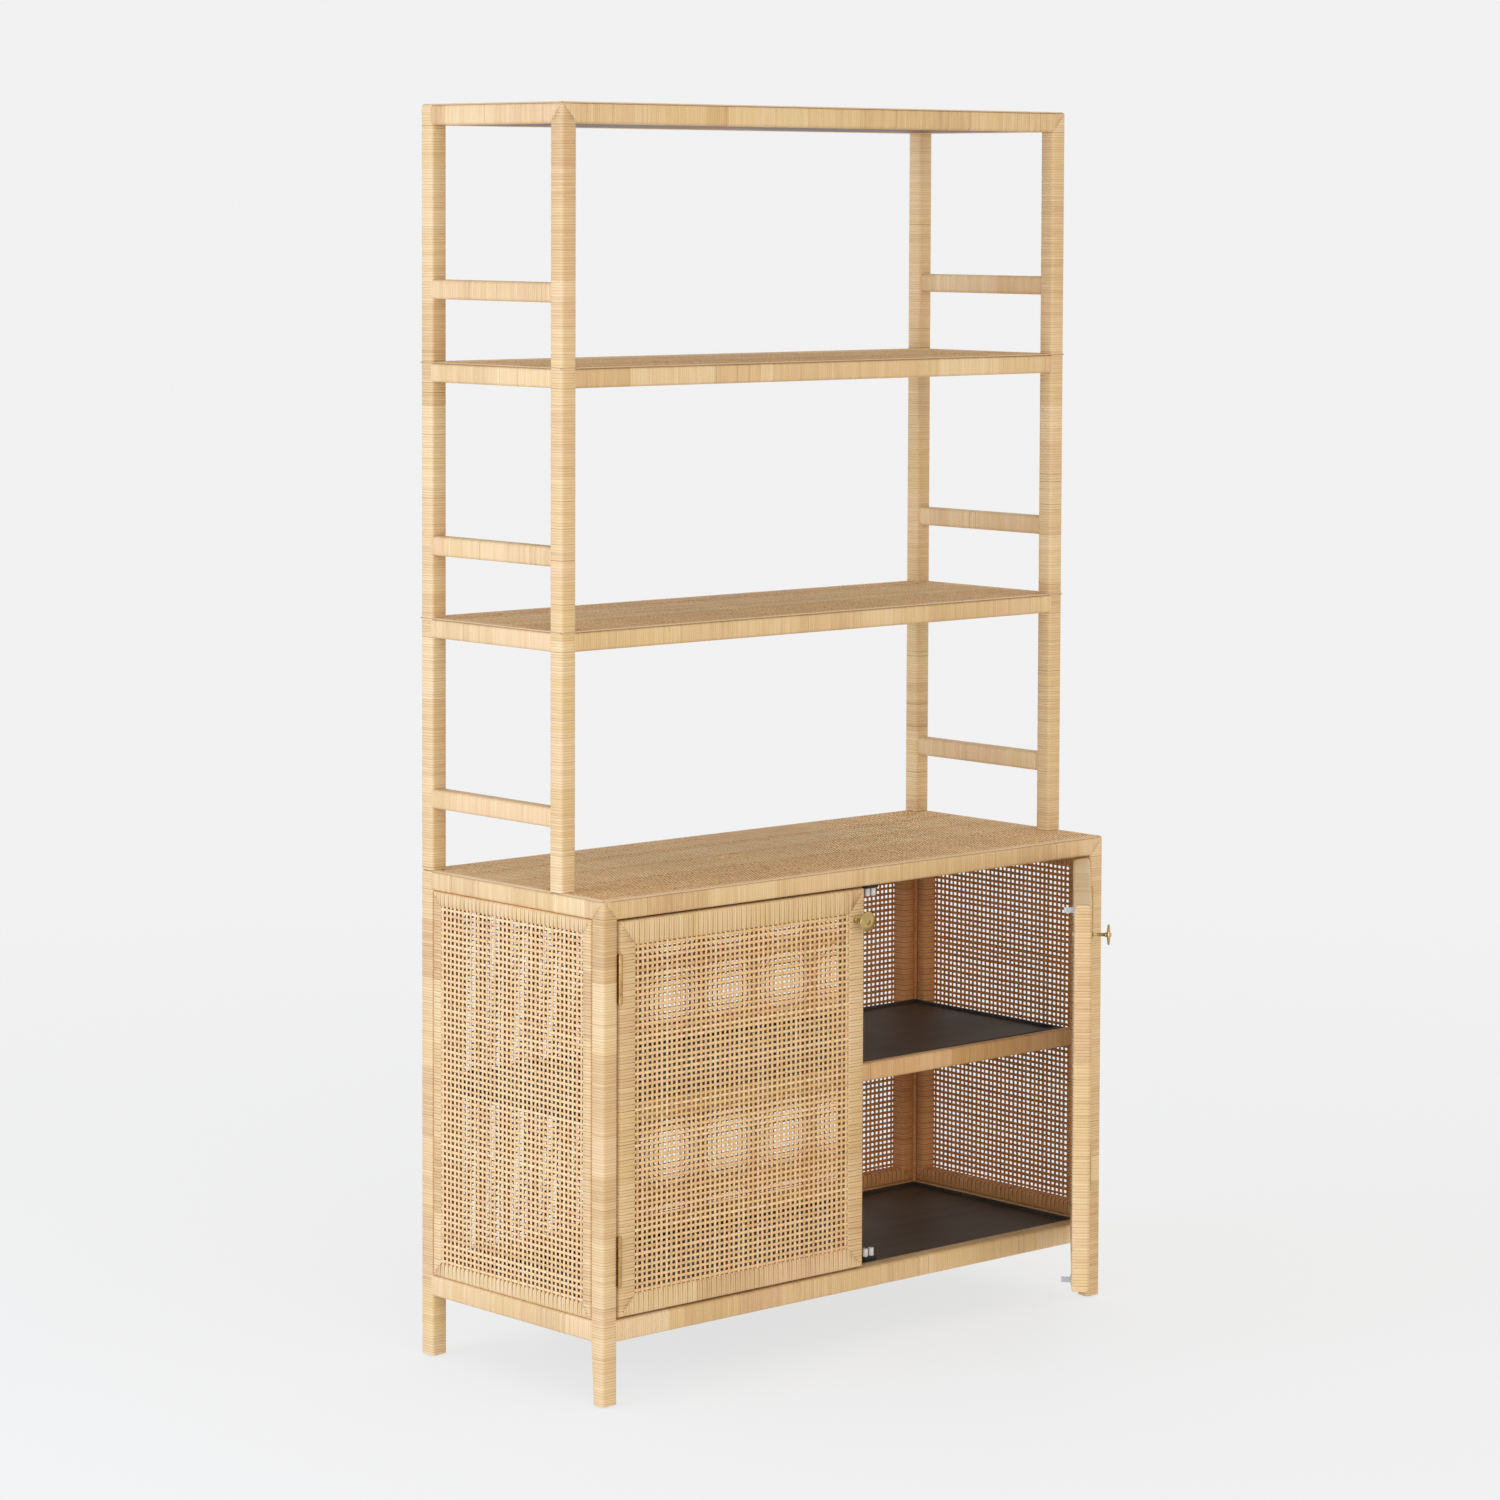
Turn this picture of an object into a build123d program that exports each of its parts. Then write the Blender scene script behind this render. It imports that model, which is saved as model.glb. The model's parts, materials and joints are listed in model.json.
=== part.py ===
from build123d import *
from math import cos, radians, sin
import os

# A two-stage storage cabinet of bars wrapped in rattan strips.
# Below: a two-door cabinet with woven cane panels.  Above: an open hutch with two shelves.
# Frame: X to the right, Y to the back, Z up.  The origin is on the floor, at the centre of the
# rectangle that the four legs stand on.  Lengths are in millimetres, angles in degrees.

# ---------------------------------------------------------------- driving dimensions
WIDTH = 1178.0
DEPTH = 480.0
HEIGHT = 2134.0
CABINET_TOP = 837.0          # height of the cabinet's top surface
HUTCH_SETBACK = 107.0        # ledge in front of the hutch
SHELF_TOPS = {"upper": 1700.0, "lower": 1267.0}

BAR = 32.0                   # side of the square wrapped posts
BAR_ROUND = 5.0              # rounding of a wrapped bar's long edges
LONG_EDGE = 3 * BAR          # a bar's edges longer than this are the ones that are rounded
LEG_TAPER = 6.5              # the front legs lose this much of their depth towards the floor
JOINT_GAP = 0.1              # hairline left between the members of one frame
HUTCH_RAIL = 36.0            # heights of the wrapped rails
EDGE_RAIL = 34.0
BASE_RAIL = 36.0
BASE_TOP = 142.0             # top of the bottom rails
GALLERY_HEIGHT = 33.0
GALLERY_THICK = 28.0
GALLERY_RISE = 139.0         # top of a gallery rail above the surface below it

MAT = 3.0                    # thickness of a woven mat
MAT_BORDER = 10.0            # wrapped border left round a mat
BOARD = 12.0
CEILING_BOARD = 9.0
RIM_WIDTH = 6.0              # dark strip round an inside board
RIM_HEIGHT = 5.0
CLEAT = 18.0                 # side of the square cleats under the inside shelf
FLOOR_BOARD_TOP = 135.0
MID_SHELF_TOP = 480.0
MID_RAIL_TOP = 485.0
MID_RAIL_SETBACK = 45.0
MID_RAIL_THICK = 20.0

PANEL_THICK = 30.0           # side panels, back panel and doors
SIDE_PANEL_STILE = 23.0
BACK_PANEL_STILE = 29.0
PANEL_RAIL = 26.0
CANE = 3.0                   # thickness of a cane sheet
CANE_DEPTH = 1.0             # cane below the outer face of its frame
DOOR_GAP = 3.2
DOOR_STILE = 37.0
DOOR_TOP_RAIL = 42.0
DOOR_BOTTOM_RAIL = 37.0
RIGHT_DOOR_SWING = 44.0      # the right door is stored open by this angle

LEAF_THICK = 1.4             # butt hinges
LEAF_WIDTH = 24.0
LEAF_TONGUE = 5.6            # depth of the tongues between a leaf and its knuckles
HINGE_LENGTH = 80.0
HINGE_END = 54.0             # from a door's end to the nearer end of its hinge
KNUCKLES = 5
KNUCKLE_RADIUS = 3.6
KNUCKLE_GAP = 0.4
PIN_RADIUS = 1.8
PIN_CLEARANCE = 0.05
PIN_HEAD_RADIUS = 2.9
PIN_HEAD = 2.4
SCREW_RADIUS = 1.6
SCREW_HEAD_RADIUS = 3.1
SCREW_LENGTH = 16.0
SCREW_RECESS = 1.1
SCREWS_PER_LEAF = 3
SCREW_COLUMNS = (10.8, 15.2)  # distances of a leaf's two staggered screw columns from the pin

KNOB_RADIUS = 17.5
KNOB_PROJECTION = 32.5
KNOB_FROM_EDGE = 21.0
KNOB_FROM_TOP = 52.0
KNOB_BASE_RADIUS = 5.8
KNOB_BASE = 1.4
KNOB_STEM_RADIUS = 2.9
KNOB_COLLAR_RADIUS = 3.8
KNOB_COLLAR = 3.0
KNOB_DISC_BACK = 24.8        # distances of the disc's faces from the door, at its middle
KNOB_DISC_FRONT = 31.0
KNOB_RIM = 1.8               # rounding of the disc's rim
KNOB_EYE_RADIUS = 3.6        # raised centre of the disc
KNOB_SCREW_RADIUS = 1.6
KNOB_HOLE = 16.0             # depth of the screw's hole in the knob
KNOB_THREAD = 15.0           # length of the screw inside it
KNOB_SCREW_HEAD_RADIUS = 3.2
KNOB_SCREW_HEAD = 2.4

CATCH_FROM_CENTRE = 53.0     # roller catches, one pair for each door
CATCH_WIDTH = 26.0
CATCH_DEPTH = 14.0
CATCH_WALL = 1.2
CATCH_CLEARANCE = 0.5        # between a catch and the rim in front of it
ROLLER_RADIUS = 4.8
ROLLER_LENGTH = 13.0
ROLLER_SPACING = 13.6
ROLLER_PIN_RADIUS = 1.2
ROLLER_PLAY = 0.3
STRIKE_FROM_TOP = 16.0       # middle of a strike, from its door's top and bottom edges
STRIKE_FROM_BOTTOM = 9.0
STRIKE_REACH = 17.0
STRIKE_PLATE = 1.2
STRIKE_WIDTH = 20.0
STRIKE_HEIGHT = 14.0
STRIKE_NECK = (2.4, 9.0)     # thickness and height of the blade
STRIKE_TIP = (3.2, 5.0)      # thickness and length of its thicker end

FOOT = 3.0                   # height of the round glides under the legs
GLIDE_RADIUS = 9.0
GLIDE_CHAMFER = 1.0
DOWEL_RADIUS = 4.0
DOWEL_LENGTH = 40.0
DOWEL_IN_FRAME = 14.0        # depth of an upright dowel in a flat frame
DOWEL_CLEARANCE = 0.05
DOWEL_OFFSET = 7.0           # dowels along X above, and along Y below, the middle of a rail
CEILING_RECESS = 1.0         # ceiling board above the lower edge of its rails

# ---------------------------------------------------------------- levels and planes
X_OUT = WIDTH / 2
X_IN = X_OUT - BAR
FRONT = -DEPTH / 2
BACK = DEPTH / 2
HUTCH_FRONT = FRONT + HUTCH_SETBACK
CABINET_RAIL_BOTTOM = CABINET_TOP - EDGE_RAIL
HUTCH_RAIL_BOTTOM = HEIGHT - HUTCH_RAIL
BASE_BOTTOM = BASE_TOP - BASE_RAIL
DOOR_LOW = BASE_TOP + DOOR_GAP
DOOR_HIGH = CABINET_RAIL_BOTTOM - DOOR_GAP
PIN_X = X_IN - DOOR_GAP / 2
PIN_Y = FRONT - KNUCKLE_RADIUS
DOOR_INNER_EDGE = PIN_X - DOOR_GAP / 2           # distance of a free edge from its pin
HINGE_LEVELS = (DOOR_LOW + HINGE_END, DOOR_HIGH - HINGE_END - HINGE_LENGTH)
SIDES = {"left": -1, "right": 1}

os.makedirs("parts", exist_ok=True)


# ---------------------------------------------------------------- drawing helpers
def save(piece, label):
    """Label a finished piece and write its STEP file."""
    piece.part.label = label
    export_step(piece.part, f"parts/{label}.step")


def block(low, high, plane=Plane.XY, mode=Mode.ADD):
    """A box between two corners, given in a plane's own axes."""
    with BuildSketch(plane.offset(low[2])) as outline:
        with Locations(((low[0] + high[0]) / 2, (low[1] + high[1]) / 2)):
            Rectangle(high[0] - low[0], high[1] - low[1])
    extrude(outline.sketch, amount=high[2] - low[2], mode=mode)


def rod(start, direction, radius, length, plane=Plane.XY, mode=Mode.ADD):
    """A round rod or hole from a start point along a direction, in a plane's own axes."""
    origin = plane.from_local_coords(Vector(*start))
    axis = plane.from_local_coords(Vector(*start) + Vector(*direction)) - origin
    with BuildSketch(Plane(origin=origin, z_dir=axis)) as outline:
        Circle(radius)
    extrude(outline.sketch, amount=length, mode=mode)


def mirrored_x(low, high, side):
    """The corners of a box drawn for the right side, on the side that is asked for."""
    xs = sorted((low[0] * side, high[0] * side))
    return (xs[0], low[1], low[2]), (xs[1], high[1], high[2])


# ---------------------------------------------------------------- where the bars are
def post_box(x_side, front, bottom, top):
    """Corners of an upright post at one side, with its front face at a given depth."""
    return mirrored_x((X_IN, front, bottom), (X_OUT, front + BAR, top), x_side)


def ring_boxes(front, bottom, top):
    """Front, rear, left and right rails between four posts."""
    side_front = front + BAR + JOINT_GAP
    side_rear = BACK - BAR - JOINT_GAP
    return [
        ((-X_IN, front, bottom), (X_IN, front + BAR, top)),
        ((-X_IN, BACK - BAR, bottom), (X_IN, BACK, top)),
        ((-X_OUT, side_front, bottom), (-X_IN, side_rear, top)),
        ((X_IN, side_front, bottom), (X_OUT, side_rear, top)),
    ]


def gallery_boxes(side):
    """The three gallery rails of one side, with their outer faces in the posts' plane."""
    boxes = []
    for surface in (CABINET_TOP, SHELF_TOPS["lower"], SHELF_TOPS["upper"]):
        top = surface + GALLERY_RISE
        low = (X_OUT - GALLERY_THICK, HUTCH_FRONT + BAR, top - GALLERY_HEIGHT)
        high = (X_OUT, BACK - BAR, top)
        boxes.append(mirrored_x(low, high, side))
    return boxes


LEGS = {}
HUTCH_POSTS = {}
for side_name, side in SIDES.items():
    for end_name, leg_front, post_front in (
        ("front", FRONT, HUTCH_FRONT),
        ("rear", BACK - BAR, BACK - BAR),
    ):
        LEGS[f"leg_{end_name}_{side_name}"] = post_box(side, leg_front, FOOT, CABINET_RAIL_BOTTOM)
        HUTCH_POSTS[f"hutch_post_{end_name}_{side_name}"] = post_box(
            side, post_front, CABINET_TOP, HUTCH_RAIL_BOTTOM
        )

BASE_RAILS = ring_boxes(FRONT, BASE_BOTTOM, BASE_TOP)
SHELF_RAILS = {
    level: ring_boxes(HUTCH_FRONT, top - EDGE_RAIL, top) for level, top in SHELF_TOPS.items()
}
GALLERIES = {name: gallery_boxes(side) for name, side in SIDES.items()}


# ---------------------------------------------------------------- where the dowels are
def rail_dowels(low, high):
    """Dowels across both end joints of a rail.  Rails along X and along Y use two levels."""
    along_x = high[0] - low[0] > high[1] - low[1]
    middle = [(a + b) / 2 for a, b in zip(low, high)]
    axis = 0 if along_x else 1
    middle[2] += DOWEL_OFFSET if along_x else -DOWEL_OFFSET
    direction = (1, 0, 0) if along_x else (0, 1, 0)
    dowels = []
    for end in (low[axis], high[axis]):
        start = list(middle)
        start[axis] = end - DOWEL_LENGTH / 2
        dowels.append((tuple(start), direction))
    return dowels


def post_dowel(low, high, at_top):
    """An upright dowel between a post's end and the flat frame above or below it."""
    x = (low[0] + high[0]) / 2
    y = (low[1] + high[1]) / 2
    z = high[2] + DOWEL_IN_FRAME - DOWEL_LENGTH if at_top else low[2] - DOWEL_IN_FRAME
    return (x, y, z), (0, 0, 1)


FRAME_DOWELS = []
for rails in [BASE_RAILS, *SHELF_RAILS.values(), *GALLERIES.values()]:
    for low, high in rails:
        FRAME_DOWELS += rail_dowels(low, high)
for low, high in LEGS.values():
    FRAME_DOWELS.append(post_dowel(low, high, at_top=True))
for low, high in HUTCH_POSTS.values():
    FRAME_DOWELS.append(post_dowel(low, high, at_top=True))
HUTCH_DOWELS = [post_dowel(low, high, at_top=False) for low, high in HUTCH_POSTS.values()]


def dowel_holes(low, high):
    """Cut the holes of every dowel that enters the box between two corners."""
    for start, direction in FRAME_DOWELS + HUTCH_DOWELS:
        end = [s + d * DOWEL_LENGTH for s, d in zip(start, direction)]
        if all(end[i] > low[i] and start[i] < high[i] for i in range(3)):
            hole = DOWEL_RADIUS + DOWEL_CLEARANCE
            rod(start, direction, hole, DOWEL_LENGTH, mode=Mode.SUBTRACT)


# ---------------------------------------------------------------- posts and rails
def round_long_edges(piece):
    """Round the long edges of every bar in a piece."""
    fillet(piece.edges().filter_by(lambda edge: edge.length > LONG_EDGE), radius=BAR_ROUND)


def hinge_screw_places(level):
    """Screws of one leaf, in two staggered columns: distance behind the pin, and height."""
    step = HINGE_LENGTH / SCREWS_PER_LEAF
    places = []
    for i in range(SCREWS_PER_LEAF):
        places.append((SCREW_COLUMNS[i % 2], level + step * (i + 0.5)))
    return places


def taper_leg(rear):
    """Cut a wedge from the rear of a front leg, from the bottom rails down to its foot."""
    with BuildSketch(Plane.YZ.offset(-X_OUT)) as wedge:
        with BuildLine():
            Polyline((rear, BASE_BOTTOM), (rear, FOOT), (rear - LEG_TAPER, FOOT), close=True)
        make_face()
    extrude(wedge.sketch, amount=WIDTH, mode=Mode.SUBTRACT)


for name, (low, high) in {**LEGS, **HUTCH_POSTS}.items():
    with BuildPart() as post:
        block(low, high)
        if name.startswith("leg_front"):
            taper_leg(high[1])
        round_long_edges(post)
        dowel_holes(low, high)
        if name.startswith("leg_front"):
            side = 1 if low[0] > 0 else -1
            depth = SCREW_LENGTH - LEAF_THICK
            hole = SCREW_RADIUS + PIN_CLEARANCE
            for level in HINGE_LEVELS:
                for back, z in hinge_screw_places(level):
                    start = (side * X_IN, PIN_Y + back, z)
                    rod(start, (side, 0, 0), hole, depth, mode=Mode.SUBTRACT)
    save(post, name)

with BuildPart() as foot_glides:
    for low, high in LEGS.values():
        rod(((low[0] + high[0]) / 2, (low[1] + high[1]) / 2, 0), (0, 0, 1), GLIDE_RADIUS, FOOT)
    soles = foot_glides.faces().filter_by(Axis.Z).group_by(Axis.Z)[0]
    chamfer(soles.edges(), length=GLIDE_CHAMFER)
save(foot_glides, "foot_glides")


def rail_group(label, boxes, mat_front=None):
    """Rails that share one node, each a separate solid, with a rebate for a mat if there is one."""
    with BuildPart() as rails:
        for low, high in boxes:
            block(low, high)
        round_long_edges(rails)
        for low, high in boxes:
            dowel_holes(low, high)
        if mat_front is not None:
            mat_block(mat_front, boxes[0][1][2], Mode.SUBTRACT)
    save(rails, label)


def mat_block(front, top, mode=Mode.ADD):
    """The sheet that a mat fills, inside the border of its frame."""
    low = (-X_OUT + MAT_BORDER, front + MAT_BORDER, top - MAT)
    block(low, (X_OUT - MAT_BORDER, BACK - MAT_BORDER, top), mode=mode)


rail_group("bottom_rails", BASE_RAILS)
for level, boxes in SHELF_RAILS.items():
    rail_group(f"shelf_{level}_rails", boxes, mat_front=HUTCH_FRONT)
for side_name, boxes in GALLERIES.items():
    rail_group(f"gallery_rails_{side_name}", boxes)

with BuildPart() as frame_dowels:
    for start, direction in FRAME_DOWELS:
        rod(start, direction, DOWEL_RADIUS, DOWEL_LENGTH)
save(frame_dowels, "frame_dowels")

with BuildPart() as hutch_dowels:
    for start, direction in HUTCH_DOWELS:
        rod(start, direction, DOWEL_RADIUS, DOWEL_LENGTH)
save(hutch_dowels, "hutch_dowels")


# ---------------------------------------------------------------- mitred flat frames
def mitred_frame(label, front, bottom, top):
    """Four mitred rails, rebated for the mat, with holes for the dowels of the posts."""
    gap = JOINT_GAP
    inner_front = front + BAR
    inner_rear = BACK - BAR
    outlines = []
    for outer_y, inner_y in ((front, inner_front), (BACK, inner_rear)):
        ends = [(-X_OUT + gap, outer_y), (X_OUT - gap, outer_y)]
        outlines.append(ends + [(X_IN - gap, inner_y), (-X_IN + gap, inner_y)])
    for side in SIDES.values():
        ends = [(side * X_OUT, front + gap), (side * X_OUT, BACK - gap)]
        outlines.append(ends + [(side * X_IN, inner_rear - gap), (side * X_IN, inner_front + gap)])
    with BuildPart() as frame:
        for corners in outlines:
            with BuildSketch(Plane.XY.offset(bottom)) as outline:
                with BuildLine():
                    Polyline(*corners, close=True)
                make_face()
            extrude(outline.sketch, amount=top - bottom)
        mat_block(front, top, Mode.SUBTRACT)
        dowel_holes((-X_OUT, front, bottom), (X_OUT, BACK, top))
    save(frame, label)


mitred_frame("cabinet_top_rails", FRONT, CABINET_RAIL_BOTTOM, CABINET_TOP)
mitred_frame("hutch_top_rails", HUTCH_FRONT, HUTCH_RAIL_BOTTOM, HEIGHT)


# ---------------------------------------------------------------- boards and mats
def board(label, front, rear, top, thickness):
    """A board between the left and right bars."""
    with BuildPart() as panel:
        block((-X_IN, front, top - thickness), (X_IN, rear, top))
    save(panel, label)


def mat(label, front, top, posts=()):
    """A woven mat flush with its border, cut out round the posts that pass through it."""
    with BuildPart() as sheet:
        mat_block(front, top)
        for low, high in posts:
            block((low[0], low[1], top - MAT), (high[0], high[1], top), mode=Mode.SUBTRACT)
        dowel_holes((-X_OUT, front, top - MAT), (X_OUT, BACK, top))
    save(sheet, label)


REAR_INSIDE = BACK - BAR
HUTCH_INSIDE = HUTCH_FRONT + BAR
CEILING_TOP = HUTCH_RAIL_BOTTOM + CEILING_RECESS + CEILING_BOARD
board("cabinet_top_board", FRONT + BAR, REAR_INSIDE, CABINET_TOP - MAT, BOARD)
mat("cabinet_top_mat", FRONT, CABINET_TOP)
board("hutch_ceiling_board", HUTCH_INSIDE, REAR_INSIDE, CEILING_TOP, CEILING_BOARD)
board("hutch_top_board", HUTCH_INSIDE, REAR_INSIDE, HEIGHT - MAT, BOARD)
mat("hutch_top_mat", HUTCH_FRONT, HEIGHT)
for level, top in SHELF_TOPS.items():
    board(f"shelf_{level}_board", HUTCH_INSIDE, REAR_INSIDE, top - MAT, BOARD)
    mat(f"shelf_{level}_mat", HUTCH_FRONT, top, posts=HUTCH_POSTS.values())


def rim(label, front, bottom):
    """Four dark strips along the edges of an inside board."""
    inner_x = X_IN - RIM_WIDTH
    side_front = front + RIM_WIDTH + JOINT_GAP
    side_rear = REAR_INSIDE - RIM_WIDTH - JOINT_GAP
    top = bottom + RIM_HEIGHT
    with BuildPart() as strips:
        for y in (front, REAR_INSIDE - RIM_WIDTH):
            block((-X_IN, y, bottom), (X_IN, y + RIM_WIDTH, top))
        for side in SIDES.values():
            low = (inner_x, side_front, bottom)
            block(*mirrored_x(low, (X_IN, side_rear, top), side))
    save(strips, label)


MID_BOARD_FRONT = FRONT + MID_RAIL_SETBACK + MID_RAIL_THICK
board("floor_board", FRONT + BAR, REAR_INSIDE, FLOOR_BOARD_TOP, BOARD)
rim("floor_rim", FRONT + BAR, FLOOR_BOARD_TOP)
board("mid_shelf_board", MID_BOARD_FRONT, REAR_INSIDE, MID_SHELF_TOP, BOARD)
rim("mid_shelf_rim", MID_BOARD_FRONT, MID_SHELF_TOP)

with BuildPart() as mid_shelf_front_rail:
    block(
        (-X_IN, FRONT + MID_RAIL_SETBACK, MID_RAIL_TOP - BAR),
        (X_IN, MID_BOARD_FRONT, MID_RAIL_TOP),
    )
    round_long_edges(mid_shelf_front_rail)
save(mid_shelf_front_rail, "mid_shelf_front_rail")

CLEAT_TOP = MID_SHELF_TOP - BOARD
CLEAT_REAR = REAR_INSIDE - CLEAT
with BuildPart() as mid_shelf_cleats:
    block((-X_IN, CLEAT_REAR, CLEAT_TOP - CLEAT), (X_IN, REAR_INSIDE, CLEAT_TOP))
    for side in SIDES.values():
        low = (X_IN - CLEAT, MID_BOARD_FRONT, CLEAT_TOP - CLEAT)
        block(*mirrored_x(low, (X_IN, CLEAT_REAR - JOINT_GAP, CLEAT_TOP), side))
save(mid_shelf_cleats, "mid_shelf_cleats")


# ---------------------------------------------------------------- cane panels
def frame_boxes(low, high, across, stile, bottom_rail, top_rail):
    """Two stiles and two rails that fill a flat box.  across is the index of its width axis."""

    def part_of_box(width_span, height_span):
        box_low = list(low)
        box_high = list(high)
        box_low[across], box_high[across] = width_span
        box_low[2], box_high[2] = height_span
        return tuple(box_low), tuple(box_high)

    inner = (low[across] + stile, high[across] - stile)
    between = (inner[0] + JOINT_GAP, inner[1] - JOINT_GAP)
    full_height = (low[2], high[2])
    return [
        part_of_box((low[across], inner[0]), full_height),
        part_of_box((inner[1], high[across]), full_height),
        part_of_box(between, (low[2], low[2] + bottom_rail)),
        part_of_box(between, (high[2] - top_rail, high[2])),
    ]


def cane_box(low, high, across, face_axis, face, inward, stile, bottom_rail, top_rail):
    """The sheet of woven cane that fills a frame's opening, just behind its outer face."""
    sheet_low = list(low)
    sheet_high = list(high)
    sheet_low[across] += stile
    sheet_high[across] -= stile
    sheet_low[2] += bottom_rail
    sheet_high[2] -= top_rail
    planes = sorted((face + inward * CANE_DEPTH, face + inward * (CANE_DEPTH + CANE)))
    sheet_low[face_axis], sheet_high[face_axis] = planes
    return tuple(sheet_low), tuple(sheet_high)


def cane_panel(label, low, high, across, face_axis, face, inward, stile):
    """A frame of wrapped members and its cane sheet, as two nodes."""
    members = (stile, PANEL_RAIL, PANEL_RAIL)
    with BuildPart() as frame:
        for box_low, box_high in frame_boxes(low, high, across, *members):
            block(box_low, box_high)
    save(frame, f"{label}_frame")
    with BuildPart() as cane:
        block(*cane_box(low, high, across, face_axis, face, inward, *members))
    save(cane, f"{label}_cane")


SIDE_PANEL_LOW = (X_OUT - PANEL_THICK, FRONT + BAR, BASE_TOP)
SIDE_PANEL_HIGH = (X_OUT, BACK - BAR, CABINET_RAIL_BOTTOM)
for side_name, side in SIDES.items():
    low, high = mirrored_x(SIDE_PANEL_LOW, SIDE_PANEL_HIGH, side)
    label = f"side_panel_{side_name}"
    cane_panel(label, low, high, 1, 0, side * X_OUT, -side, SIDE_PANEL_STILE)
cane_panel(
    "back_panel",
    (-X_IN, BACK - PANEL_THICK, BASE_TOP),
    (X_IN, BACK, CABINET_RAIL_BOTTOM),
    across=0,
    face_axis=1,
    face=BACK,
    inward=-1,
    stile=BACK_PANEL_STILE,
)


# ---------------------------------------------------------------- doors
# Each door is drawn about its own hinge pin: x runs across the door, y from front to back.
# towards is +1 where the door lies on the pin's +x side (the left door) and -1 on the right.
def door_plane(side, swing):
    """A plane at a door's hinge pin, turned by the angle that the door stands open."""
    turn = radians(swing)
    return Plane(origin=(side * PIN_X, PIN_Y, 0), x_dir=(cos(turn), sin(turn), 0), z_dir=(0, 0, 1))


def across_door(low, high, towards):
    """The corners of a box drawn for the left door, on the side that is asked for."""
    xs = sorted((low[0] * towards, high[0] * towards))
    return (xs[0], low[1], low[2]), (xs[1], high[1], high[2])


DOOR_FRONT = KNUCKLE_RADIUS
DOOR_REAR = DOOR_FRONT + PANEL_THICK
KNOB_X = DOOR_INNER_EDGE - KNOB_FROM_EDGE
KNOB_Z = DOOR_HIGH - KNOB_FROM_TOP
STRIKE_LEVELS = {"top": DOOR_HIGH - STRIKE_FROM_TOP, "bottom": DOOR_LOW + STRIKE_FROM_BOTTOM}
CATCH_X = PIN_X - CATCH_FROM_CENTRE                 # distance of a catch from its door's pin
CATCH_FRONT = FRONT + BAR + RIM_WIDTH + CATCH_CLEARANCE
ROLLER_Y = CATCH_FRONT + CATCH_DEPTH / 2


def door_frame(label, plane, towards):
    """Stiles and rails of a door, drilled for its hinge screws and knob screw."""
    low, high = across_door(
        (DOOR_GAP / 2, DOOR_FRONT, DOOR_LOW), (DOOR_INNER_EDGE, DOOR_REAR, DOOR_HIGH), towards
    )
    boxes = frame_boxes(low, high, 0, DOOR_STILE, DOOR_BOTTOM_RAIL, DOOR_TOP_RAIL)
    with BuildPart() as frame:
        for box_low, box_high in boxes:
            block(box_low, box_high, plane)
        for level in HINGE_LEVELS:
            for back, z in hinge_screw_places(level):
                start = (towards * DOOR_GAP / 2, back, z)
                hole = SCREW_RADIUS + PIN_CLEARANCE
                depth = SCREW_LENGTH - LEAF_THICK
                rod(start, (towards, 0, 0), hole, depth, plane, Mode.SUBTRACT)
        start = (towards * KNOB_X, DOOR_FRONT, KNOB_Z)
        hole = KNOB_SCREW_RADIUS + PIN_CLEARANCE
        rod(start, (0, 1, 0), hole, PANEL_THICK, plane, Mode.SUBTRACT)
    save(frame, f"{label}_frame")
    with BuildPart() as cane:
        sheet = cane_box(
            low, high, 0, 1, DOOR_FRONT, 1, DOOR_STILE, DOOR_BOTTOM_RAIL, DOOR_TOP_RAIL
        )
        block(*sheet, plane)
    save(cane, f"{label}_cane")


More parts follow.
